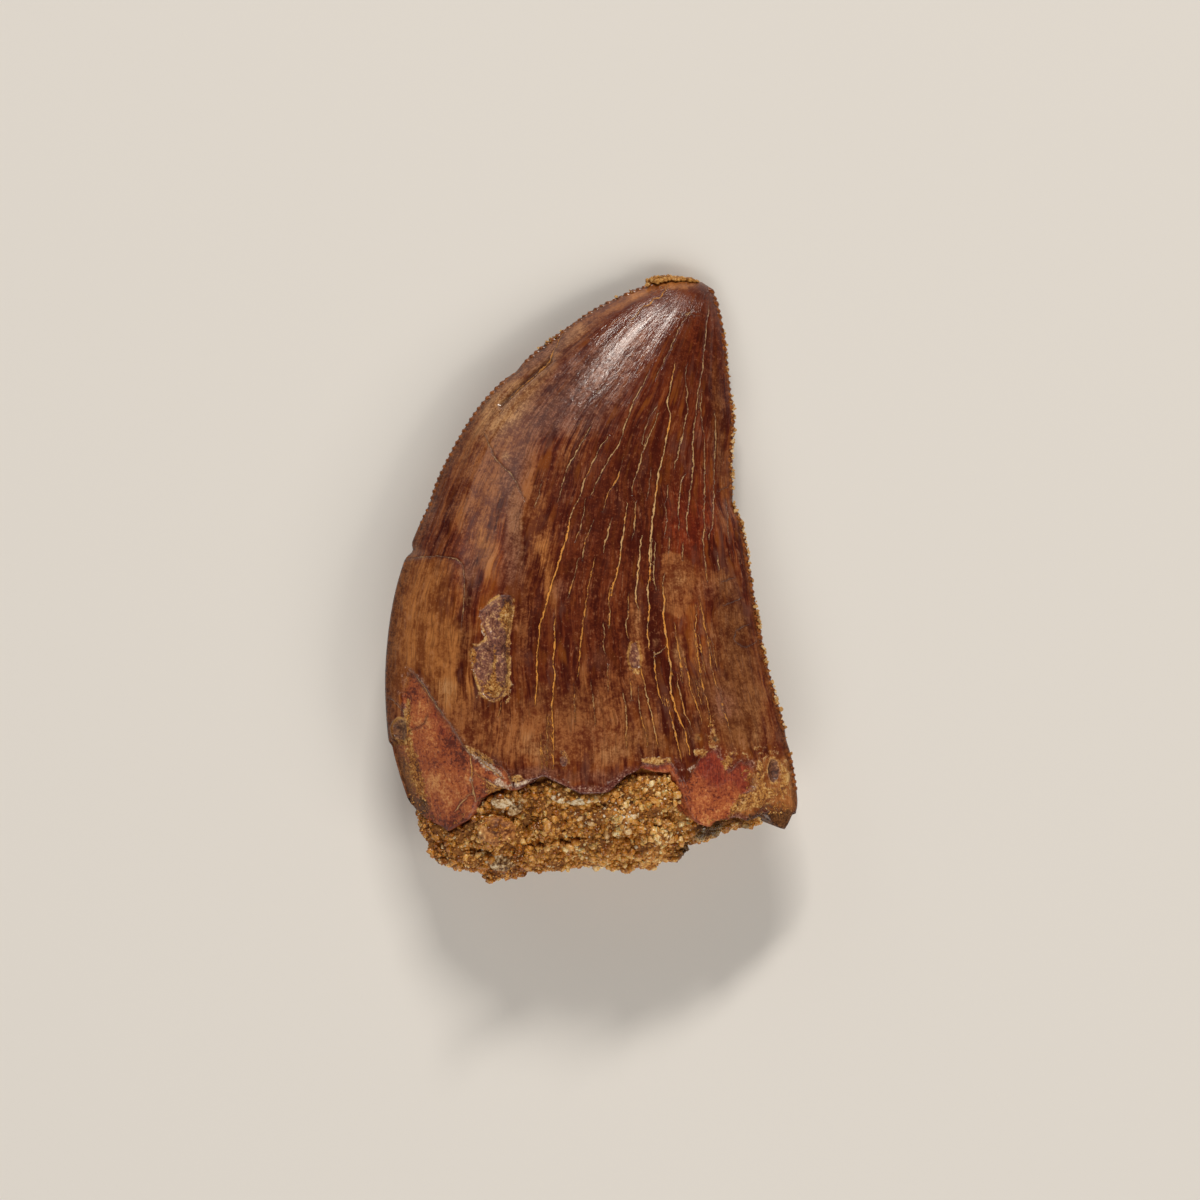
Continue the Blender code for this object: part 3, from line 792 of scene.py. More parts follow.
# the lower face has its own cracks, drawn from a seed in mm round and along the crown
lowerCracks = {
    "seed": 8, "number": 64, "step": 0.8, "sway": 0.07,
    # lowest and highest of each
    "start": (6, 32), "at": (1.8, 22.2), "length": (2, 9),
    "wide": (0.06, 0.15), "pale": (0.4, 1), "gold": (0, 0.5),
}
random = np.random.default_rng(lowerCracks["seed"])
unseen = np.flatnonzero(~isAbove)
flat = np.column_stack([fields["flowAt"], fields["downAt"]])
wobble = wobbly(unseen, 0.06, 0.45, 45)
for _ in range(lowerCracks["number"]):
    start, at, length = (random.uniform(*lowerCracks[name]) for name in ("start", "at", "length"))
    steps = np.arange(0, length, lowerCracks["step"])
    sway = np.cumsum(random.normal(0, lowerCracks["sway"], len(steps)))
    line = np.column_stack([at + sway, start + steps])
    look = [random.uniform(*lowerCracks[name]) for name in ("wide", "pale", "gold")]
    crackMap.add(unseen, flat[unseen] + wobble, smoothLine(line, 3), *look)
fields["crackOff"] = np.clip(crackMap.off, -2, 2)
fields["crackNear"] = np.minimum(crackMap.near, 2)
fields["crackWide"] = crackMap.wide * (0.55 + 0.45 * ease(0.1, 0.45, down))
fields["crackPale"] = crackMap.pale
fields["crackGold"] = crackMap.gold
print("cracks drawn")

ragged = wobbly(seen, 0.12, 0.8, 51)
# crumbs on the crown, as soft patches
crumbs = (
    (418, 803, 9, 14, 10, 0.9), (411, 770, 4, 24, 13, 0.4), (739, 803, 3, 13, -38, 0.9),
    (748, 775, 6, 10, 0, 0.2), (772, 791, 12, 4, 0, 0.25), (785, 775, 4, 12, 0, 0.2),
    (771, 751, 10, 3, 0, 0.25), (481, 754, 18, 2.5, -29, 0.9), (517, 777, 6, 2.5, 0, 0.8),
    (655, 760, 16, 2.5, 0, 0.5), (711, 728, 4, 14, -8, 0.5), (701, 750, 6, 2, 0, 0.4),
    (727, 762, 5, 5, 0, 0.5), (492, 697, 10, 3, 0, 0.5), (494, 790, 12, 5, -30, 0.7),
    (776, 809, 18, 6, 0, 0.8), (750, 816, 14, 3, 0, 0.5), (430, 818, 8, 4, 20, 0.7),
    (460, 816, 10, 3, 40, 0.5), (708, 820, 16, 2.5, 0, 0.6),
)
crumbShare = np.zeros(count)
for patch in crumbs:
    crumbShare[seen] = np.maximum(crumbShare[seen], softPatch(seenXY, patch))
fields["grainShare"] = crumbShare * ease(0.05, 0.2, crumbShare)
for tone, patches in tones.items():
    value = np.zeros(count)
    for patch in patches:
        value[seen] += softPatch(seenXY, patch)
    for name, amount, outline in blocks:
        if name == tone:
            value[seen] += amount * ease(-0.12, 0.12, outlineDepth(fromPhoto(outline), seenXY + ragged))
    value[unseen] = ease(-0.1, 1.2, wander(points[unseen], 5.0, sorted(tones).index(tone) + 61, 2))
    fields[tone] = np.clip(value, 0, 1)
# the lower face is tanned near its base too
fields["tanTone"][unseen] = np.maximum(fields["tanTone"][unseen], 0.7 * ease(0.75, 0.95, down[unseen]))
fields["isAbove"] = isAbove.astype(float)
fields["rimIn"] = np.where(isAbove, (rimAt(rims[True], across) - down) * crown["lengthDown"], 3.0)
atRim = 1 - ease(0.1, 0.6, fields["rimIn"])
fields["frontEdge"] = np.exp(-across / 0.045)
fields["rearEdge"] = np.exp(-(1 - across) / 0.025)

height += relief["gold"] * (wander(points, 0.36, 35, 2) + 0.2) * fields["goldTone"] * middle
height += relief["rim"] * wander(points, 0.45, 37, 2) * atRim * middle
raised = points + normals * (height * np.minimum(1, down / 0.05))[:, None]
raised[:, 2] = np.maximum(raised[:, 2], 0.0)


def buildCrown():
    rows = len(raised) // ringSize
    # the broken end curls in round the sand and closes at its heart
    last = raised[-ringSize:]
    heart = np.array(crown["heart"])
    curls = [last + (heart - last) * share for share in crown["curls"]]
    tip = np.array([[*frontEdge.at(np.zeros(1))[0], float(edgeHeight(0.0))]])
    allPoints = np.vstack([raised, *curls, tip, heart[None]])
    tipIndex, heartIndex = len(allPoints) - 2, len(allPoints) - 1
    faces = ringFaces(ringSize, rows + len(curls) - 1)
    k = np.arange(ringSize)
    after = (k + 1) % ringSize
    faces += np.column_stack([np.full(ringSize, tipIndex), k, after]).tolist()
    a = (rows + len(curls) - 1) * ringSize
    faces += np.column_stack([np.full(ringSize, heartIndex), a + after, a + k]).tolist()
    made = addMesh("fossil_crown", allPoints, faces)
    for name, values in fields.items():
        ends = [values, *[values[-ringSize:]] * len(curls), values[:1], values[-1:]]
        setField(made, name, np.concatenate(ends))
    facesOut(made)
    return made


crownPiece = buildCrown()
print("crown built", len(crownPiece.data.polygons), "faces")

# Saw teeth of both cutting edges
sawTeeth = {
    "sizes": {"Pitch": 0.42, "Half Along": 0.25, "Half Inwards": 0.42, "Half Thick": 0.19},
    "sunk": 0.33, "seed": 4, "samples": 240, "least": 0.35,
    # the stretch of each edge, and where its teeth are worn: share down, half length, loss
    "front": (0.03, 0.74, ((0.6, 0.02, 0.4), (0.31, 0.02, 0.3), (0.2, 0.012, 0.2), (0.13, 0.01, 0.25),
                           (0.74, 0.1, 0.65))),
    "rear": (0.03, 0.95, ((0.42, 0.02, 0.3), (0.86, 0.03, 0.3))),
}
edges = {"front": frontEdge, "rear": rearEdge}


def startTree(name, inputs):
    # a Geometry Nodes tree with a geometry in and out, and named inputs by their kinds
    tree = bpy.data.node_groups.new(name, "GeometryNodeTree")
    sockets = [("Geometry", "Geometry"), *((socket, kind) for kind, names in inputs for socket in names)]
    for socket, kind in (*sockets, ("Material", "Material")):
        tree.interface.new_socket(name=socket, in_out="INPUT", socket_type="NodeSocket" + kind)
    tree.interface.new_socket(name="Geometry", in_out="OUTPUT", socket_type="NodeSocketGeometry")
    m = Maker(tree)
    return m, m.node("NodeGroupInput", out="Geometry")


def endTree(m, given, instances, smooth=None):
    # makes the instances real and gives them the material
    real = m.node("GeometryNodeRealizeInstances", None, {"Geometry": instances})
    if smooth:
        real = m.node("GeometryNodeSetShadeSmooth", None, {"Geometry": real, "Shade Smooth": smooth})
    values = {"Geometry": real, "Material": m.out("Material", given)}
    painted = m.node("GeometryNodeSetMaterial", None, values)
    m.node("NodeGroupOutput", None, {"Geometry": painted}, out=None)
    return m.tree


def sawTree():
    m, given = startTree("sawTeeth", (("Float", sawTeeth["sizes"]), ("Int", ("Seed",))))
    curve = m.node("GeometryNodeMeshToCurve", None, {"Mesh": given})
    values = {"Curve": curve, "Length": m.out("Pitch", given)}
    points = m.node("GeometryNodeResampleCurve", {"mode": "LENGTH"}, values)
    inwards = m.node("GeometryNodeInputNamedAttribute", {"data_type": "FLOAT_VECTOR"}, ("inwards",))
    turn = m.node("FunctionNodeAlignRotationToVector", {"axis": "X", "pivot_axis": "Z"}, {"Vector": inwards})
    size = m.node("GeometryNodeInputNamedAttribute", {"data_type": "FLOAT"}, ("size",))
    # sockets 2 and 3 are the lowest and the highest value
    limits = {2: 0.7, 3: 1.15, "Seed": m.out("Seed", given)}
    chance = m.node("FunctionNodeRandomValue", {"data_type": "FLOAT"}, limits, out=1)
    shape = m.vector(m.out("Half Inwards", given) * size, m.out("Half Along", given) * chance,
                     m.out("Half Thick", given) * size * chance)
    ball = m.node("GeometryNodeMeshIcoSphere", None, {"Radius": 1.0, "Subdivisions": 2})
    placed = m.node("GeometryNodeInstanceOnPoints", None,
                    {"Points": points, "Instance": ball, "Rotation": turn, "Scale": shape})
    return endTree(m, given, placed)


def madeByNodes(name, source, tree, inputs):
    # what the tree makes of the source, as a plain mesh
    modifier = source.modifiers.new("made", "NODES")
    modifier.node_group = tree
    for item in tree.interface.items_tree:
        if item.in_out == "INPUT" and item.name in inputs:
            modifier[item.identifier] = inputs[item.name]
    bpy.context.view_layer.update()
    graph = bpy.context.evaluated_depsgraph_get()
    mesh = bpy.data.meshes.new_from_object(source.evaluated_get(graph))
    source.modifiers.remove(modifier)
    mesh.name = name
    made = bpy.data.objects.new(name, mesh)
    bpy.context.scene.collection.objects.link(made)
    return made


def edgeFrom(side, low, high, samples):
    # shares down, points of a cutting edge, and the directions inwards from them as seen from above
    down = np.linspace(low, high, samples)
    line = crownPoints(np.full(samples, 0.0 if side == "front" else 1.0), down, True)
    inwards = edges["rear" if side == "front" else "front"].at(down) - line[:, :2]
    return down, line, inwards / np.linalg.norm(inwards, axis=1)[:, None]


def edgeLine(side):
    # the cutting edge as a line of points, each with its inward direction and the size of its tooth
    low, high, wornAt = sawTeeth[side]
    samples = sawTeeth["samples"]
    down, line, inwards = edgeFrom(side, low, high, samples)
    inwards = np.column_stack([inwards, np.zeros(samples)])
    line += inwards * sawTeeth["sunk"]
    size = np.ones(samples)
    for at, half, loss in wornAt:
        size -= loss * np.exp(-(((down - at) / half) ** 2))
    made = addMesh("edge_line", line, [], [(k, k + 1) for k in range(samples - 1)], smooth=False)
    field = made.data.attributes.new("inwards", "FLOAT_VECTOR", "POINT")
    field.data.foreach_set("vector", inwards.ravel().astype(np.float32))
    setField(made, "size", np.clip(size, sawTeeth["least"], 1))
    return made


def likeTheCrown(piece, names):
    # gives each point of a piece the crown's fields at its nearest point there
    tree = kdtree.KDTree(count)
    for index, point in enumerate(raised * mm):
        tree.insert(point, index)
    tree.balance()
    nearest = [tree.find(vertex.co)[1] for vertex in piece.data.vertices]
    for name in names:
        setField(piece, name, fields[name][nearest])


def buildSawTeeth(material):
    tree = sawTree()
    sizes = {name: size * mm for name, size in sawTeeth["sizes"].items()}
    made = []
    for side in edges:
        line = edgeLine(side)
        inputs = {**sizes, "Seed": sawTeeth["seed"], "Material": material}
        piece = madeByNodes(f"saw_teeth_{side}", line, tree, inputs)
        bpy.data.objects.remove(line)
        likeTheCrown(piece, fields)
        setField(piece, "onSaw", np.ones(len(piece.data.vertices)))
        piece.data.shade_smooth()
        made.append(piece)
    return made


def enamelMaterial():
    made, m = newMaterial("polished_enamel")
    place = m.node("ShaderNodeTexCoord", out="Object")
    flowAt, downAt, sideAt = m.field("flowAt"), m.field("downAt"), m.field("sideAt")
    sway = m.noise(place, 420.0, 2.0)
    flowing = flowAt + (sway - 0.5) * 0.5

    def streaks(across, along, shift, detail=3.0):
        # a noise drawn out along the crown; across and along are its bumps per mm
        return m.noise(m.vector(flowing * across, downAt * along, sideAt * 0.5 + shift), 1.0, detail, 0.55)

    broad, mid, fine = streaks(0.85, 0.11, 0), streaks(2.3, 0.22, 5), streaks(6.5, 0.6, 9, 2.0)
    hair = streaks(13.0, 0.5, 4, 2.0)
    cloud = m.noise(place, 700.0, 4.0, 0.6)
    speck = m.noise(place, 3200.0, 3.0, 0.6)
    dust = m.noise(place, 8500.0, 2.0, 0.6)
    cloudy, specky, dusty = cloud - 0.5, speck - 0.5, dust - 0.5
    streak = broad - 0.5 + (mid - 0.5) * 0.8 + (fine - 0.5) * 0.8
    blotch = m.noise(place, 240.0, 3.0)
    streak = streak * downAt.between(-1, 16) * ((blotch - 0.5) * 4 + 1) + specky * 0.3 + cloudy * 0.4
    colour = m.ramp(streak + 0.5, (
        (0.3, 64, 17, 5), (0.43, 84, 29, 12), (0.54, 104, 43, 18),
        (0.66, 128, 60, 24), (0.84, 156, 88, 38)))
    amber = streaks(1.9, 0.5, 14, 1.0)
    colour = m.mix(amber.between(0.5, 0.72) * 0.55, colour, (146, 78, 24))
    mauve = streaks(1.3, 0.4, 23, 2.0)
    colour = m.mix(mauve.between(0.54, 0.68) * 0.5, colour, m.mix(fine, (88, 44, 34), (134, 90, 72)))

    # tones over it, patchy, and stronger in some streaks than in others: deep and light colour, most of it,
    # and how far streaks move its edge, clouds do, streaks line it and grit shows in it
    films = {
        "darkTone": ((60, 15, 4), (98, 40, 16), 0.75, 1.0, 0.5, 0.8, 1.0),
        "redTone": ((94, 26, 10), (134, 52, 24), 0.8, 1.0, 0.5, 0.8, 1.0),
        "tanTone": ((102, 46, 22), (164, 102, 57), 0.9, 0.8, 0.6, 0.8, 0.7),
        "oliveTone": ((92, 48, 22), (136, 86, 48), 0.85, 0.6, 0.8, 0.3, 1.0),
        "ochreTone": ((122, 64, 28), (184, 118, 62), 0.9, 0.7, 0.4, 0.8, 0.4),
        "paleTone": ((130, 80, 46), (202, 152, 102), 0.85, 0.4, 0.8, 0.3, 1.0),
        # grey film: grey-purple colour, and in the upper left a painted sheen
        "greyTone": ((86, 44, 32), (140, 90, 68), 0.75, 0.6, 0.3, 0.5, 1.0),
    }
    filmShares = {}
    for name, (deep, light, most, sway, patchy, lined, grit) in films.items():
        tone = m.field(name)
        share = (tone + streak * sway + cloudy * patchy).between(0.08, 0.8) * tone.between(0.0, 0.3) * most
        mottle = streak * lined + (dusty + specky) * grit + cloudy
        colour = m.mix(share, colour, m.mix((mottle + 0.5).between(0.2, 0.8), deep, light))
        filmShares[name] = share
    colour = m.mix(hair.between(0.54, 0.66) * downAt.between(3, 14) * 0.22, colour, (60, 18, 7))
    colour = m.mix((dust + speck * 0.5).between(0.88, 1.02) * 0.22, colour, (180, 136, 98))
    # painted shadow along the groove beside the front edge
    colour = m.mix(m.field("grooveAt") * 0.75, colour, (60, 26, 14))

    # thin dark and pale threads along the enamel
    threads = (streaks(3.2, 0.22, 31, 2.0) - 0.5).size().between(0.04, 0.012)
    threads = threads * (cloud * 0.6 + mid * 0.4).between(0.42, 0.56)
    paleThreads = (streaks(2.6, 0.25, 37, 2.0) - 0.5).size().between(0.025, 0.008)
    paleThreads = paleThreads * (cloud + speck).between(1.0, 1.2)
    lower = downAt.between(4, 14)
    colour = m.mix(threads * lower * 0.4, colour, (62, 20, 10))
    colour = m.mix(paleThreads * lower * 0.35, colour, (172, 118, 82))

    # the red dentine where the enamel is gone, with a pale line along the enamel's broken edge
    enamelIn = m.field("enamelIn") + specky * 0.12
    bare = enamelIn.between(0.04, -0.04)
    pores = m.noise(place, 4800.0, 3.0, 0.6, 0.6)
    rusty = cloudy * 0.8 + (blotch - 0.5) * 0.6 + (pores - 0.5) * 0.8 + (fine - 0.5) * 0.25 + dusty * 0.4
    dentineColour = m.ramp(rusty + 0.5, (
        (0.3, 92, 34, 18), (0.42, 146, 68, 34), (0.58, 174, 94, 48), (0.78, 208, 144, 86)))
    dentineColour = m.mix((pores * 0.6 + dust * 0.4).between(0.45, 0.36) * 0.4, dentineColour, (80, 30, 14))
    crimson = m.mix((hair * 0.6 + pores * 0.4).between(0.42, 0.62), (100, 22, 14), (152, 54, 32))
    dentineColour = m.mix(m.field("redTone").between(0.2, 0.7) * 0.8, dentineColour, crimson)
    ochreShare = (cloudy * 1.2 + specky * 0.5 + dust).between(0.25, 0.8)
    ochre = m.mix(ochreShare, (104, 58, 22), (186, 122, 50))
    dentineColour = m.mix(m.field("ochreTone").between(0.2, 0.6), dentineColour, ochre)
    colour = m.mix(bare, colour, dentineColour)
    crust = (enamelIn - 0.15 + cloudy * 0.9).size().between(0.3, 0.05) * m.field("isAbove")
    crustColour = m.ramp(dust * 0.6 + speck * 0.4, (
        (0.42, 76, 34, 28), (0.52, 108, 60, 50), (0.6, 150, 108, 90), (0.68, 206, 178, 156)))
    atRim = (m.field("rimIn") + cloudy * 1.2).between(0.5, 0.1)
    crust = crust * (specky + cloud).between(0.4, 0.6) * 0.7
    crust = crust.most(atRim * enamelIn.between(-0.1, 0.05) * 0.85)
    colour = m.mix(crust, colour, crustColour)

    # whitish crust over the broken edge
    creamTone = m.field("creamTone")
    cream = (creamTone + specky * 1.6 + cloudy * 1.4).between(0.4, 0.75) * creamTone.between(0.05, 0.3)
    colour = m.mix(cream * 0.85, colour, m.mix(dust.between(0.35, 0.65), (164, 116, 84), (236, 216, 192)))

    # hollows: rough floor and golden rims
    pitIn = m.field("pitIn") + specky * 0.12
    floor = pitIn.between(0.0, 0.1) * m.field("pitShow")
    grit = specky + dusty * 0.7 + cloudy * 0.5 + 0.5
    purple = m.ramp(grit, (
        (0.3, 70, 30, 20), (0.44, 110, 60, 44), (0.58, 140, 90, 66), (0.74, 202, 156, 106)))
    olive = m.ramp(grit, ((0.3, 54, 32, 14), (0.5, 92, 58, 28), (0.75, 150, 104, 54)))
    colour = m.mix(floor, colour, m.mix(m.field("pitTone"), purple, olive))
    golden = (pitIn + 0.02 + cloudy * 0.2).size().between(0.13, 0.03) * m.field("pitRim")
    golden = golden * (cloud + speck * 0.5).between(0.6, 0.8)
    colour = m.mix(golden * 0.85, colour, m.mix(grit.between(0.35, 0.65), (164, 106, 46), (212, 162, 92)))

    # golden crust, and painted shade at the lower corners of the broken base
    goldTone = m.field("goldTone")
    gold = (goldTone + specky * 1.2 + cloudy * 0.8).between(0.35, 0.6) * goldTone.between(0.04, 0.25)
    goldColour = m.ramp(specky + dusty + cloudy * 0.8 + 0.5, (
        (0.28, 84, 40, 8), (0.4, 138, 82, 26), (0.56, 178, 120, 50), (0.78, 218, 176, 110)))
    gold = gold * (1.0 - floor * m.field("pitTone").between(0.0, 0.3))
    colour = m.mix(gold * 0.85, colour, goldColour)
    shadeTone = m.field("shadeTone")
    paintedShade = (shadeTone + specky * 0.9 + cloudy * 0.6).between(0.3, 0.7) * shadeTone.between(0.05, 0.3)
    colour = m.mix(paintedShade * 0.85, colour, m.mix(dust.between(0.4, 0.65), (40, 22, 10), (104, 66, 34)))

    # cracks filled with sediment; a false one between two neighbours is far from both
    ripple = m.noise(place, 4200.0, 2.0)
    gaps = m.noise(place, 1700.0, 3.0)
    off = (m.field("crackOff") + (ripple - 0.5) * 0.12).size()
    near = m.field("crackNear")
    wide = m.field("crackWide") * (gaps * 3.0 - 0.5 + (ripple - 0.5) * 2.0).most(0.55).least(1.6)
    real = (near - m.field("crackOff").size()).between(0.1, 0.07) * near.between(0.4, 0.3)
    line = real * (off - wide * 0.5).between(0.016, -0.016) * wide.between(0.0, 0.035)
    beside = real * (off - wide * 0.5).between(0.16, 0.0)
    pale = m.field("crackPale")
    yellow = m.field("crackGold") + cloudy * 2.2 + downAt.between(14, 30) * 0.3
    filled = m.mix(yellow.between(0.35, 0.65), (204, 162, 106), (214, 142, 54))
    clean = ((gaps - 0.5) * 2.0 + dusty * 2.5 + pale + 0.05).between(0.2, 0.9)
    filled = m.mix(clean, (112, 66, 42), filled)
    colour = m.mix(beside * 0.4, colour, (62, 18, 8))
    colour = m.mix(line * (pale * 0.7 + 0.3), colour, m.mix(pale.between(0.0, 0.2), (48, 20, 10), filled))

    # worn sawn edges
    atEdge = m.field("frontEdge").most(m.field("rearEdge"))
    edgeColour = m.mix((specky + dust).between(0.3, 0.7), (60, 26, 10), (118, 66, 30))
    colour = m.mix(atEdge.between(0.35, 0.8) * 0.8, colour, edgeColour)
    sawColour = m.mix((specky + dust).between(0.3, 0.7), (96, 46, 16), (156, 90, 38))
    colour = m.mix(m.field("onSaw") * 0.8, colour, sawColour)

    rough = (fine - 0.5) * 0.15 + cloudy * 0.2 + dusty * 0.15 + 0.2
    rough = rough + filmShares["greyTone"] * 0.06 + bare * 0.28 + floor * 0.4 + line * 0.3
    rough = rough + gold.most(cream) * 0.4
    wrinkle = m.noise(m.vector(flowing * 3.0, downAt * 1.4, sideAt), 1.0, 2.0, 0.5, 0.8)
    height = (fine - 0.5) * 0.01 + (hair - 0.5) * 0.005 + cloudy * 0.014 + specky * 0.005
    height = height + (wrinkle - 0.5) * 0.034 * m.field("wrinkleTone") + dusty * 0.0012
    height = height - threads * lower * 0.004 - line * 0.03 - beside * 0.012
    height = height + bare * (cloudy * 0.1 + specky * 0.06)
    height = height + floor * (specky * 0.12 + dusty * 0.05) + golden * 0.03
    height = height + gold.most(cream) * (specky * 0.12 + dusty * 0.05 + 0.02)
    height = height + bare * (pores - 0.5) * 0.05
    sockets = {"Base Color": colour, "Roughness": rough, "Coat Weight": 0.12, "Coat Roughness": 0.14}
    finishMaterial(m, sockets, height, (1.0, 1.0))
    return made


enamel = enamelMaterial()
crownPiece.data.materials.append(enamel)
sawPieces = buildSawTeeth(enamel)
print("saw teeth", sum(len(piece.data.polygons) for piece in sawPieces), "faces")


# Hardened sand in the hollow of the base: a lumpy core, and grains on it
sand = {
    "lowerRim": (
        (0.0, 1.04), (0.03, 1.07), (0.1, 1.085), (0.16, 1.1), (0.31, 1.088), (0.49, 1.09), (0.62, 1.09),
        (0.68, 1.08), (0.74, 1.05), (0.85, 1.02), (0.92, 1.012), (1.0, 0.99),
    ),
    "startsAt": 0.9, "recess": 0.42, "round": 0.45, "lowest": 0.15,
    "lumps": ((2.6, 1.1), (1.3, 0.8), (0.7, 0.4)), "lumpsReach": 0.05,
    # swellings seen from above: middle and half sizes in photo pixels, turn, height in mm
    "swellings": (
        (496, 826, 20, 16, 10, 0.75), (500, 862, 16, 8, -8, 0.4), (640, 808, 26, 18, 0, 0.5),
        (572, 812, 20, 14, 0, -0.3), (540, 840, 16, 12, 20, 0.35), (612, 848, 22, 12, 0, 0.3),
        (448, 840, 14, 12, 0, 0.3), (676, 812, 10, 16, 0, -0.3), (526, 820, 7, 20, 10, -0.9),
        (478, 850, 22, 4, -10, -0.6), (562, 838, 30, 4, 5, -0.6), (600, 802, 14, 4, 0, -0.5),
        (470, 822, 5, 14, 20, -0.5), (660, 826, 20, 4, -20, -0.5), (632, 842, 4, 14, 20, -0.5),
    ),
    # above the rim it is drawn in towards the middle of the hollow, so that the crown hides it
    "columns": 90, "rows": 60, "hollowCentre": (0.6, -13.4, 4.6), "drawnIn": 0.9, "freeBelow": 0.005,
}


def buildSandCore():
    k = np.arange(sand["columns"] + 1) / sand["columns"]
    spread = 0.5 - 0.5 * np.cos(math.pi * k)
    centre = np.array(sand["hollowCentre"])
    places = []
    belows = []
    for row in range(sand["rows"] + 1):
        turn = 0.5 * math.pi * row / sand["rows"]
        for above in (True, False):
            across = spread if above else spread[-2:0:-1]
            downs = sand["startsAt"] + (rimAt(sand["lowerRim"], across) - sand["startsAt"]) * math.sin(turn)
            top = rimAt(rims[above], across)
            below = np.clip((downs - top) / sand["lumpsReach"], 0, 1)
            hidden = downs - top < sand["freeBelow"]
            p = crownPoints(across, downs, np.full(len(across), above), -sand["recess"])
            p = np.where(hidden[:, None], centre + (p - centre) * sand["drawnIn"], p)
            mid = edgeHeight(downs)
            p[:, 2] = mid + (p[:, 2] - mid) * max(0.0, math.cos(turn)) ** sand["round"]
            places.append(p)
            belows.append(below)
    p = np.vstack(places)
    below = np.concatenate(belows)
    outwards = p - centre
    outwards /= np.linalg.norm(outwards, axis=1)[:, None]
    for size, height in sand["lumps"]:
        lump = np.array([noise.noise(Vector(point) / size) for point in p])
        p += outwards * (height * below * (lump - 0.25))[:, None]
    p += outwards * (below * (0.1 * wander(p, 0.5, 71, 2) + 0.16 * wander(p, 1.3, 73, 1)))[:, None]
    for patch in sand["swellings"]:
        p[:, 2] += softPatch(p[:, :2], patch) * below * (p[:, 2] > 5)
    p[:, 2] = np.maximum(p[:, 2], sand["lowest"])
    ring = 2 * sand["columns"]
    faces = ringFaces(ring, sand["rows"])
    for first in (0, sand["rows"] * ring):
        for k in range(sand["columns"]):
            corners = (k, -k % ring, (-k - 1) % ring, k + 1)
            faces.append([first + corner for corner in dict.fromkeys(corners)])
    made = addMesh("sand_core", p, faces)
    setField(made, "grainShare", ease(0.02, 0.3, below))
    facesOut(made, mergeWithin=1e-6)
    return made


def grainTree():
    kinds = (("Float", ("Density", "Small", "Large")), ("Int", ("Corners", "Seed")), ("Bool", ("Rounded",)))
    m, given = startTree("grains", kinds)
    seed = m.out("Seed", given)
    socketsOf = {"FLOAT": (2, 3, 1), "FLOAT_VECTOR": (0, 1, 0), "INT": (4, 5, 2)}  # lowest, highest, value

    def chance(low, high, number, kind="FLOAT"):
        lowest, highest, value = socketsOf[kind]
        limits = {lowest: low, highest: high, "Seed": seed + number}
        return m.node("FunctionNodeRandomValue", {"data_type": kind}, limits, out=value)

    # a few grains, each the hull of random points
    shapes, shapeCount = [], 5
    for number in range(shapeCount):
        way = chance((-1, -1, -1), (1, 1, 1), 10 + number, "FLOAT_VECTOR")
        way = m.node("ShaderNodeVectorMath", {"operation": "NORMALIZE"}, (way,), out="Vector")
        corners = m.node("GeometryNodePoints", None, {"Count": m.out("Corners", given), "Position": way})
        hull = m.node("GeometryNodeConvexHull", None, (corners,))
        shapes.append(m.node("GeometryNodeGeometryToInstance", None, (hull,)))
    joined = m.node("GeometryNodeJoinGeometry")
    for shape in reversed(shapes):
        m.tree.links.new(shape.socket, joined.socket.node.inputs[0])

    share = m.node("GeometryNodeInputNamedAttribute", {"data_type": "FLOAT"}, ("grainShare",))
    points = m.node("GeometryNodeDistributePointsOnFaces", {"distribute_method": "RANDOM"}, {
        "Mesh": given, "Density": m.out("Density", given) * share, "Seed": seed}, out="Points")
    size = chance(0, 1, 1) ** 1.6 * (m.out("Large", given) - m.out("Small", given)) + m.out("Small", given)
    longer = chance((0.75, 0.75, 0.6), (1.25, 1.1, 1.0), 2, "FLOAT_VECTOR")
    stretch = m.node("ShaderNodeVectorMath", {"operation": "SCALE"}, {0: longer, "Scale": size}, out="Vector")
    anyTurn = chance((0, 0, 0), (6.283, 6.283, 6.283), 3, "FLOAT_VECTOR")
    turn = m.node("FunctionNodeEulerToRotation", None, (anyTurn,))
    placed = m.node("GeometryNodeInstanceOnPoints", None, {
        "Points": points, "Instance": joined, "Pick Instance": True,
        "Instance Index": chance(0, shapeCount - 1, 4, "INT"), "Rotation": turn, "Scale": stretch})
    toned = m.node("GeometryNodeStoreNamedAttribute", {"data_type": "FLOAT", "domain": "INSTANCE"},
                   {"Geometry": placed, "Name": "grainTone", "Value": chance(0, 1, 5)})
    return endTree(m, given, toned, smooth=m.out("Rounded", given))


# painted shadow on the underside of the sand at the rear corner: places and reaches in mm
shadowSpots = (
    ((7.4, -16.3, 6.6), 1.5), ((9.6, -16.4, 6.0), 1.2), ((5.9, -17.4, 5.5), 1.0), ((9.9, -15.4, 6.8), 1.3),
    ((8.3, -15.6, 7.2), 1.0),
)


def paintShadowUnderCorner(m, place, colour):
    # darkens the colour near each spot: painted shadow under the rear corner
    for spot, reach in shadowSpots:
        spot = tuple(c * mm for c in spot)
        away = m.node("ShaderNodeVectorMath", {"operation": "DISTANCE"}, (place, spot), out="Value")
        shadowShare = (away + (m.noise(place, 1500.0, 2.0) - 0.5) * mm).between(1.2 * reach * mm, 0.2 * reach * mm)
        colour = m.mix(shadowShare * 0.9, colour, (48, 27, 10))
    return colour


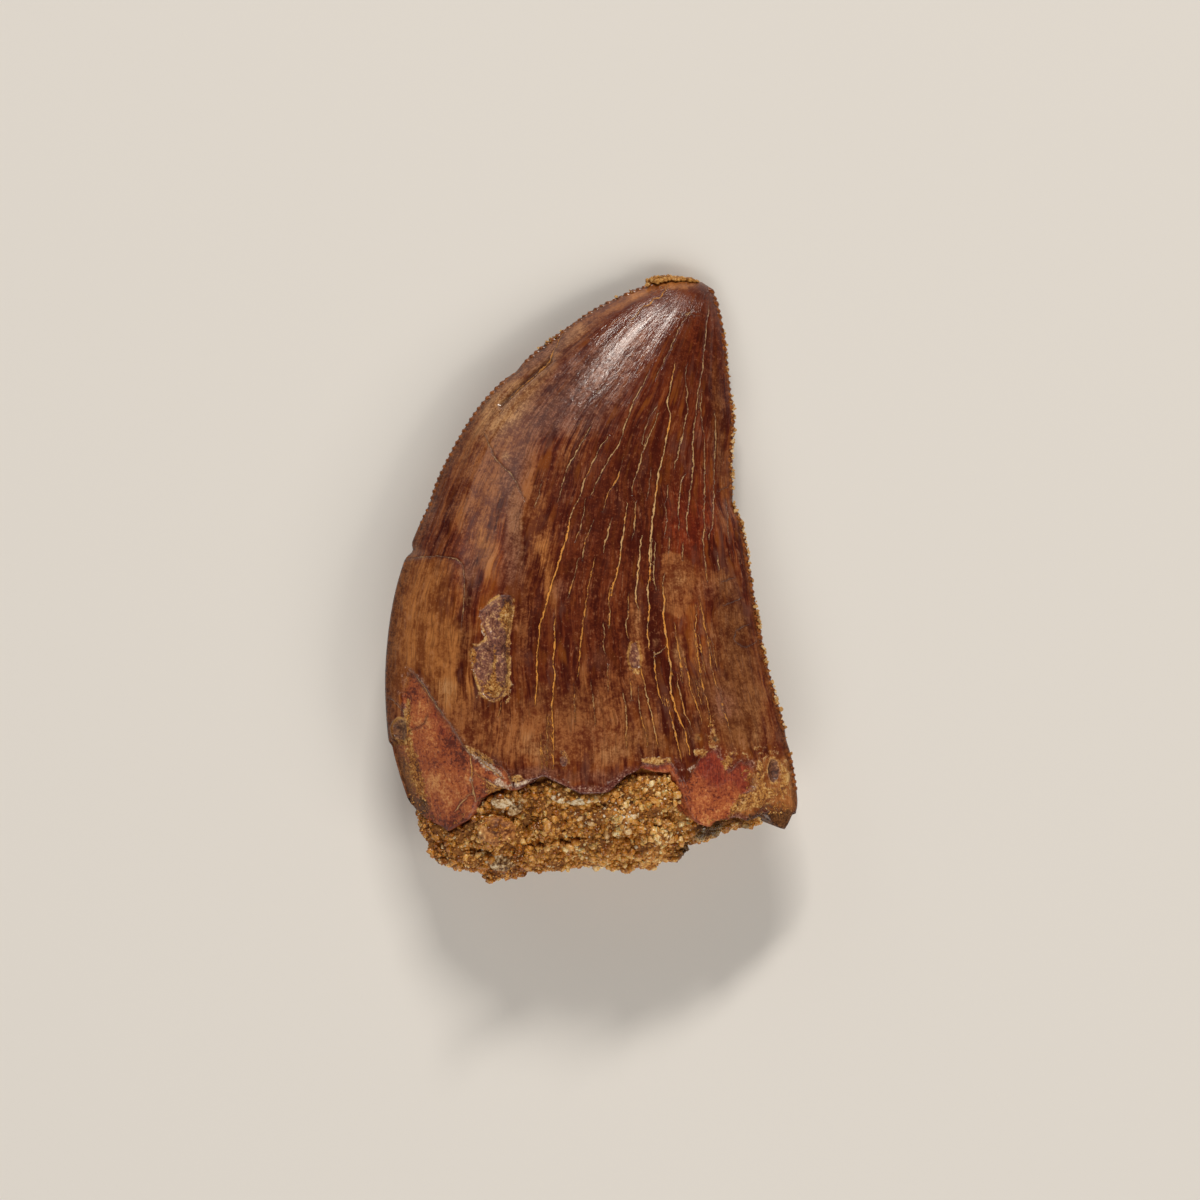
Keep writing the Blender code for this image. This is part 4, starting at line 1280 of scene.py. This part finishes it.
def sandMaterial():
    made, m = newMaterial("hardened_sand")
    place = m.node("ShaderNodeTexCoord", out="Object")
    cloud = m.noise(place, 900.0, 3.0, 0.6)
    speck = m.noise(place, 5200.0, 3.0, 0.6)
    # colour of the sand between the grains; its darkest stops are in part painted shade in the gaps between
    # grains
    colour = m.ramp(cloud * 0.6 + speck * 0.4, (
        (0.34, 70, 36, 8), (0.46, 122, 72, 26), (0.56, 162, 106, 46),
        (0.68, 196, 146, 80)))
    height = (cloud - 0.5) * 0.12 + (speck - 0.5) * 0.08
    # the sand's colour, with painted shadow under the rear corner
    finishMaterial(m, {"Base Color": paintShadowUnderCorner(m, place, colour), "Roughness": 0.85}, height, (1.0, 1.0))
    return made


def grainMaterial(name, stops, rough, clear=0.0, fleck=0.5):
    made, m = newMaterial(name)
    place = m.node("ShaderNodeTexCoord", out="Object")
    cloud = m.noise(place, 500.0, 2.0, 0.5)
    speck = m.noise(place, 5200.0, 3.0, 0.6)
    alongX = m.node("ShaderNodeSeparateXYZ", None, (place,), out="X")
    paler = alongX.between(-9 * mm, 4 * mm) * 0.16
    knots = m.noise(place, 1300.0, 3.0, 0.6)
    tone = m.field("grainTone") * 0.55 + (speck - 0.5) * fleck + (cloud - 0.5) + (knots - 0.5) * 0.9
    tone = tone + paler + 0.12
    # the grain's colour, with painted shadow under the rear corner
    colour = paintShadowUnderCorner(m, place, m.ramp(tone, stops))
    sockets = {"Base Color": colour, "Roughness": rough}
    if clear:
        sockets |= {"Subsurface Weight": clear, "Subsurface Radius": (1.0, 0.9, 0.8),
                    "Subsurface Scale": 0.18 * mm}
    finishMaterial(m, sockets, speck * 0.04, (1.0, 1.0))
    return made


core = buildSandCore()
core.data.materials.append(sandMaterial())
grains = grainTree()
# each kind of grain: colours from dark to light with their places, roughness, clearness, flecks
looks = {
    "ochre": ("ochre_grains", (
        (0.05, 96, 50, 10), (0.3, 150, 90, 28), (0.55, 188, 128, 54), (0.8, 212, 160, 90),
        (0.97, 234, 200, 146)), 0.5),
    "honey": ("honey_grains", (
        (0.05, 118, 62, 12), (0.3, 168, 106, 36), (0.55, 200, 142, 66), (0.8, 220, 176, 108),
        (0.97, 236, 212, 164)), 0.22, 0.8),
    # white quartz, made whiter as painted glints
    "quartz": ("quartz_grains", ((0.1, 186, 138, 78), (0.5, 218, 188, 142), (0.9, 244, 234, 216)), 0.12, 0.5),
    "cream": ("cream_sediment", (
        (0.1, 150, 100, 44), (0.4, 186, 140, 78), (0.7, 212, 174, 118), (1.0, 224, 196, 150)), 0.8),
    "tip": ("tip_sediment", (
        (0.1, 122, 72, 22), (0.4, 166, 110, 42), (0.7, 198, 146, 74), (1.0, 224, 184, 120)), 0.6),
    "crumb": ("golden_crumbs", (
        (0.15, 76, 40, 12), (0.4, 138, 84, 28), (0.65, 184, 126, 50), (0.95, 218, 180, 116)), 0.5),
    "clast": ("rounded_clast", (
        (0.2, 104, 54, 18), (0.42, 160, 100, 46), (0.6, 190, 130, 70),
        (0.85, 212, 166, 108)), 0.6, 0.0, 1.2),
    "pebble": ("pale_pebble", (
        (0.25, 84, 50, 22), (0.45, 158, 118, 72), (0.65, 196, 166, 122),
        (0.85, 226, 208, 176)), 0.5, 0.0, 1.8),
}
finishes = {kind: grainMaterial(*look) for kind, look in looks.items()}


def scatter(name, surface, density, small, large, corners, seed, finish, rounded=False, patches=None):
    # density per square mm, sizes in mm; patches leave grains in some places of the surface alone
    if patches:
        share = surface.data.attributes["grainShare"].data
        p = np.array([vertex.co for vertex in surface.data.vertices])[:, :2] / mm
        amounts = np.max([softPatch(p, patch) for patch in patches], axis=0)
        share.foreach_set("value", amounts.astype(np.float32))
    made = madeByNodes(name, surface, grains, {
        "Density": density / mm**2, "Small": small * mm, "Large": large * mm, "Corners": corners,
        "Seed": seed, "Rounded": rounded, "Material": finishes[finish],
    })
    print(name, len(made.data.polygons), "faces")
    return made


# where white quartz gathers in the sand, as soft patches; these grains are whitened in part as painted glints
glintQuartzPatches = (
    (590, 818, 34, 12, 0, 0.5), (632, 820, 14, 10, 0, 1.0), (640, 815, 50, 30, 0, 0.35),
    (450, 850, 40, 14, 20, 0.2), (505, 800, 16, 9, 0, 1.2), (655, 790, 14, 14, 0, 0.4),
    (566, 800, 20, 5, 0, 0.5), (598, 836, 14, 6, 0, 0.6),
)
grainPieces = [
    scatter("fine_grains", core, 30.0, 0.05, 0.15, 12, 1, "ochre"),
    scatter("coarse_grains", core, 9.0, 0.1, 0.34, 20, 2, "honey", True),
    # small white grains: quartz, and painted glints
    scatter("quartz_grains", core, 3.0, 0.04, 0.14, 12, 3, "quartz"),
    scatter("glint_and_quartz_cluster", core, 9.0, 0.08, 0.2, 12, 6, "quartz", False, glintQuartzPatches),
    scatter("crown_crumbs", crownPiece, 46.0, 0.03, 0.1, 12, 7, "crumb"),
]


# Sediment caught between the teeth of both edges and on the tip

sediment = {
    "samples": 500, "turns": (-60, -15, 30, 75), "inset": 0.12, "flatness": 0.85,
    # stretches: first and last y pixel of the photograph, amount
    "rear": ((318, 395, 0.25), (395, 480, 0.9), (480, 500, 0.3), (500, 545, 1.0), (545, 600, 0.3),
             (600, 640, 0.8), (640, 690, 0.3), (690, 704, 0.9), (704, 760, 0.25)),
    "front": ((284, 330, 0.1), (332, 344, 0.8), (345, 400, 0.05)),
    "tip": ((262, 275, 2.4),),
}


def sedimentStrip(side, stretches, halfWidth):
    # a narrow band over the cutting edge
    samples = sediment["samples"]
    down, line, inwards = edgeFrom(side, 0.005, 1.0, samples)
    y = photo["middle"][1] - line[:, 1] * photo["pixelsPerMm"]
    share = np.zeros(samples)
    for top, bottom, amount in stretches:
        share = np.maximum(share, amount * ease(top - 8, top + 4, y) * ease(bottom + 8, bottom - 4, y))
    rows = []
    for turn in map(math.radians, sediment["turns"]):
        out = halfWidth * math.cos(turn) - sediment["inset"]
        up = sediment["flatness"] * halfWidth * math.sin(turn)
        rows.append(np.column_stack([line[:, :2] - inwards * out, line[:, 2] + up]))
    k = np.arange(samples - 1)
    faces = []
    for row in range(len(rows) - 1):
        a, b = row * samples + k, (row + 1) * samples + k
        quads = (a, a + 1, b + 1, b) if side == "front" else (a, b, b + 1, a + 1)
        faces += np.column_stack(quads).tolist()
    made = addMesh("sediment_strip", np.vstack(rows), faces)
    setField(made, "grainShare", np.tile(share, len(rows)))
    return made


for name, side, where, halfWidth, *kind in (
    ("rear_edge_sediment", "rear", "rear", 0.22, 26.0, 0.05, 0.17, 14, 5, "cream"),
    ("front_edge_sediment", "front", "front", 0.22, 26.0, 0.05, 0.17, 14, 5, "cream"),
    ("tip_sediment", "front", "tip", 0.6, 110.0, 0.06, 0.2, 12, 9, "tip"),
    ("tip_sediment_below", "front", "tip", 0.36, 110.0, 0.06, 0.2, 12, 9, "tip"),
):
    strip = sedimentStrip(side, sediment[where], halfWidth)
    grainPieces.append(scatter(name, strip, *kind))
    bpy.data.objects.remove(strip)


# Larger stones in the sand: middle in photo pixels, half sizes in pixels, turn, tone, finish
stones = (
    (497, 829, 19, 14, 10, 0.55, "clast"), (581, 799, 13, 4, 6, 0.9, "pebble"),
    (560, 797, 9, 4, -15, 0.8, "pebble"), (500, 861, 14, 9, -8, 0.7, "pebble"),
    (504, 801, 12, 7, -10, 1.1, "pebble"), (516, 807, 8, 6, 30, 0.9, "pebble"),
    (632, 816, 5, 4, 20, 0.5, "quartz"), (606, 832, 3.5, 6, 12, 0.2, "quartz"),
    (524, 797, 4, 4, 30, 0.4, "quartz"), (627, 829, 5, 4, 0, 0.3, "quartz"),
    (580, 816, 4, 3, 30, 0.2, "quartz"), (591, 821, 4, 3, -20, 0.4, "quartz"),
    (548, 824, 6, 5, 60, 0.6, "honey"), (655, 800, 6, 5, -30, 0.7, "honey"),
    (480, 868, 5, 5, 0, 0.6, "honey"), (438, 838, 6, 5, -30, 0.6, "honey"),
)


def buildStones():
    top = bvhtree.BVHTree.FromObject(core, bpy.context.evaluated_depsgraph_get())
    made = {}
    for number, (x, y, halfX, halfY, turn, tone, finish) in enumerate(stones):
        spot = fromPhoto([(x, y)])[0]
        hit = top.ray_cast(Vector((*spot, 30)) * mm, Vector((0, 0, -1)))[0]
        if hit is None:
            continue
        isLarge, isLargest = halfX > 12, halfX > 15
        bm = bmesh.new()
        bmesh.ops.create_icosphere(bm, subdivisions=4 if isLarge else 3, radius=1.0)
        p = np.array([vertex.co for vertex in bm.verts])
        faces = [[vertex.index for vertex in face.verts] for face in bm.faces]
        bm.free()
        p *= (1 + 0.22 * wander(p, 0.7, 80 + number, 4 if isLarge else 2))[:, None]
        half = np.array([halfX, halfY, min(halfX, halfY)]) / photo["pixelsPerMm"]
        p *= half
        t = math.radians(turn)
        p[:, :2] = p[:, :2] @ np.array([[math.cos(t), math.sin(t)], [-math.sin(t), math.cos(t)]])
        sunk = 0.1 if isLargest else 0.35
        p += [*spot, hit.z / mm - sunk * half[2]]
        made.setdefault(finish, []).append((p, faces, tone))
    pieces = []
    for finish, group in made.items():
        points, faces, tones = [], [], []
        for p, own, tone in group:
            faces += [[index + len(points) for index in face] for face in own]
            points += p.tolist()
            tones += [tone] * len(p)
        piece = addMesh(f"{finish}_stones", points, faces, smooth=False)
        setField(piece, "grainTone", tones)
        setField(piece, "grainShare", ease(-0.3, 0.5, wander(np.array(points), 0.6, 91, 2)))
        piece.data.materials.append(finishes[finish])
        pieces.append(piece)
    return pieces


grainPieces += buildStones()
clast = next(piece for piece in grainPieces if piece.name == "clast_stones")
grainPieces.append(scatter("clast_grains", clast, 16.0, 0.05, 0.2, 14, 8, "honey", True))


# Floor, light and camera
stage = {"cameraHeight": 400.0, "sensor": 36.0, "focusZ": 5.0}


def buildFloor():
    mesh = bpy.data.meshes.new("floor")
    half = 3.0
    corners = [(-half, -half, 0), (half, -half, 0), (half, half, 0), (-half, half, 0)]
    mesh.from_pydata(corners, [], [(0, 1, 2, 3)])
    made = bpy.data.objects.new("floor", mesh)
    bpy.context.scene.collection.objects.link(made)
    finish, m = newMaterial("pale_floor")
    grain = m.noise(m.node("ShaderNodeTexCoord", out="Object"), 40.0)
    finishMaterial(m, {"Base Color": (0.74, 0.72, 0.69, 1), "Roughness": 0.8}, grain, (0.0, 0.1))
    mesh.materials.append(finish)


def softbox(name, azimuth, elevation, distance, width, depth, power, roll=0, mirrored=True):
    # a warm lamp aimed at the tooth; azimuth turns from +X towards +Y
    light = bpy.data.lights.new(name, "AREA")
    light.shape = "RECTANGLE"
    light.size, light.size_y = width, depth
    light.energy = power
    light.color = (1.0, 0.94, 0.86)
    made = bpy.data.objects.new(name, light)
    a, e = math.radians(azimuth), math.radians(elevation)
    way = Vector((math.cos(a) * math.cos(e), math.sin(a) * math.cos(e), math.sin(e)))
    made.location = way * distance
    made.visible_glossy = mirrored
    made.rotation_euler = (way.to_track_quat("Z", "Y") @ Quaternion((0, 0, 1), math.radians(roll))).to_euler()
    bpy.context.scene.collection.objects.link(made)


buildFloor()
softbox("key_light", 88, 34, 0.8, 0.3, 0.075, 4.6, roll=22)
softbox("front_light", 135, 30, 0.9, 0.4, 0.3, 0.4)
softbox("fill_light", -95, 45, 0.9, 0.8, 0.6, 4.2)
softbox("side_light", -35, 40, 0.9, 0.5, 0.4, 2.6, mirrored=False)
world = bpy.data.worlds.new("studio")
world.use_nodes = True
world.node_tree.nodes["Background"].inputs["Color"].default_value = (0.8, 0.82, 0.86, 1)
world.node_tree.nodes["Background"].inputs["Strength"].default_value = 0.07
bpy.context.scene.world = world
bpy.context.scene.view_settings.view_transform = "Standard"

camera = bpy.data.objects.new("camera", bpy.data.cameras.new("camera"))
middle = fromPhoto([(photo["frame"] / 2, photo["frame"] / 2)])[0]
camera.location = (middle[0] * mm, middle[1] * mm, (stage["cameraHeight"] + stage["focusZ"]) * mm)
camera.data.sensor_width = stage["sensor"]
camera.data.lens = stage["sensor"] * stage["cameraHeight"] * photo["pixelsPerMm"] / photo["frame"]
camera.data.clip_start = 0.01
bpy.context.scene.collection.objects.link(camera)
bpy.context.scene.camera = camera

for piece in (crownPiece, *sawPieces):
    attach(piece, "root")
for piece in (core, *grainPieces):
    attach(piece, "root")
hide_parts("tooth_crown")
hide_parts("sandstone_plug")
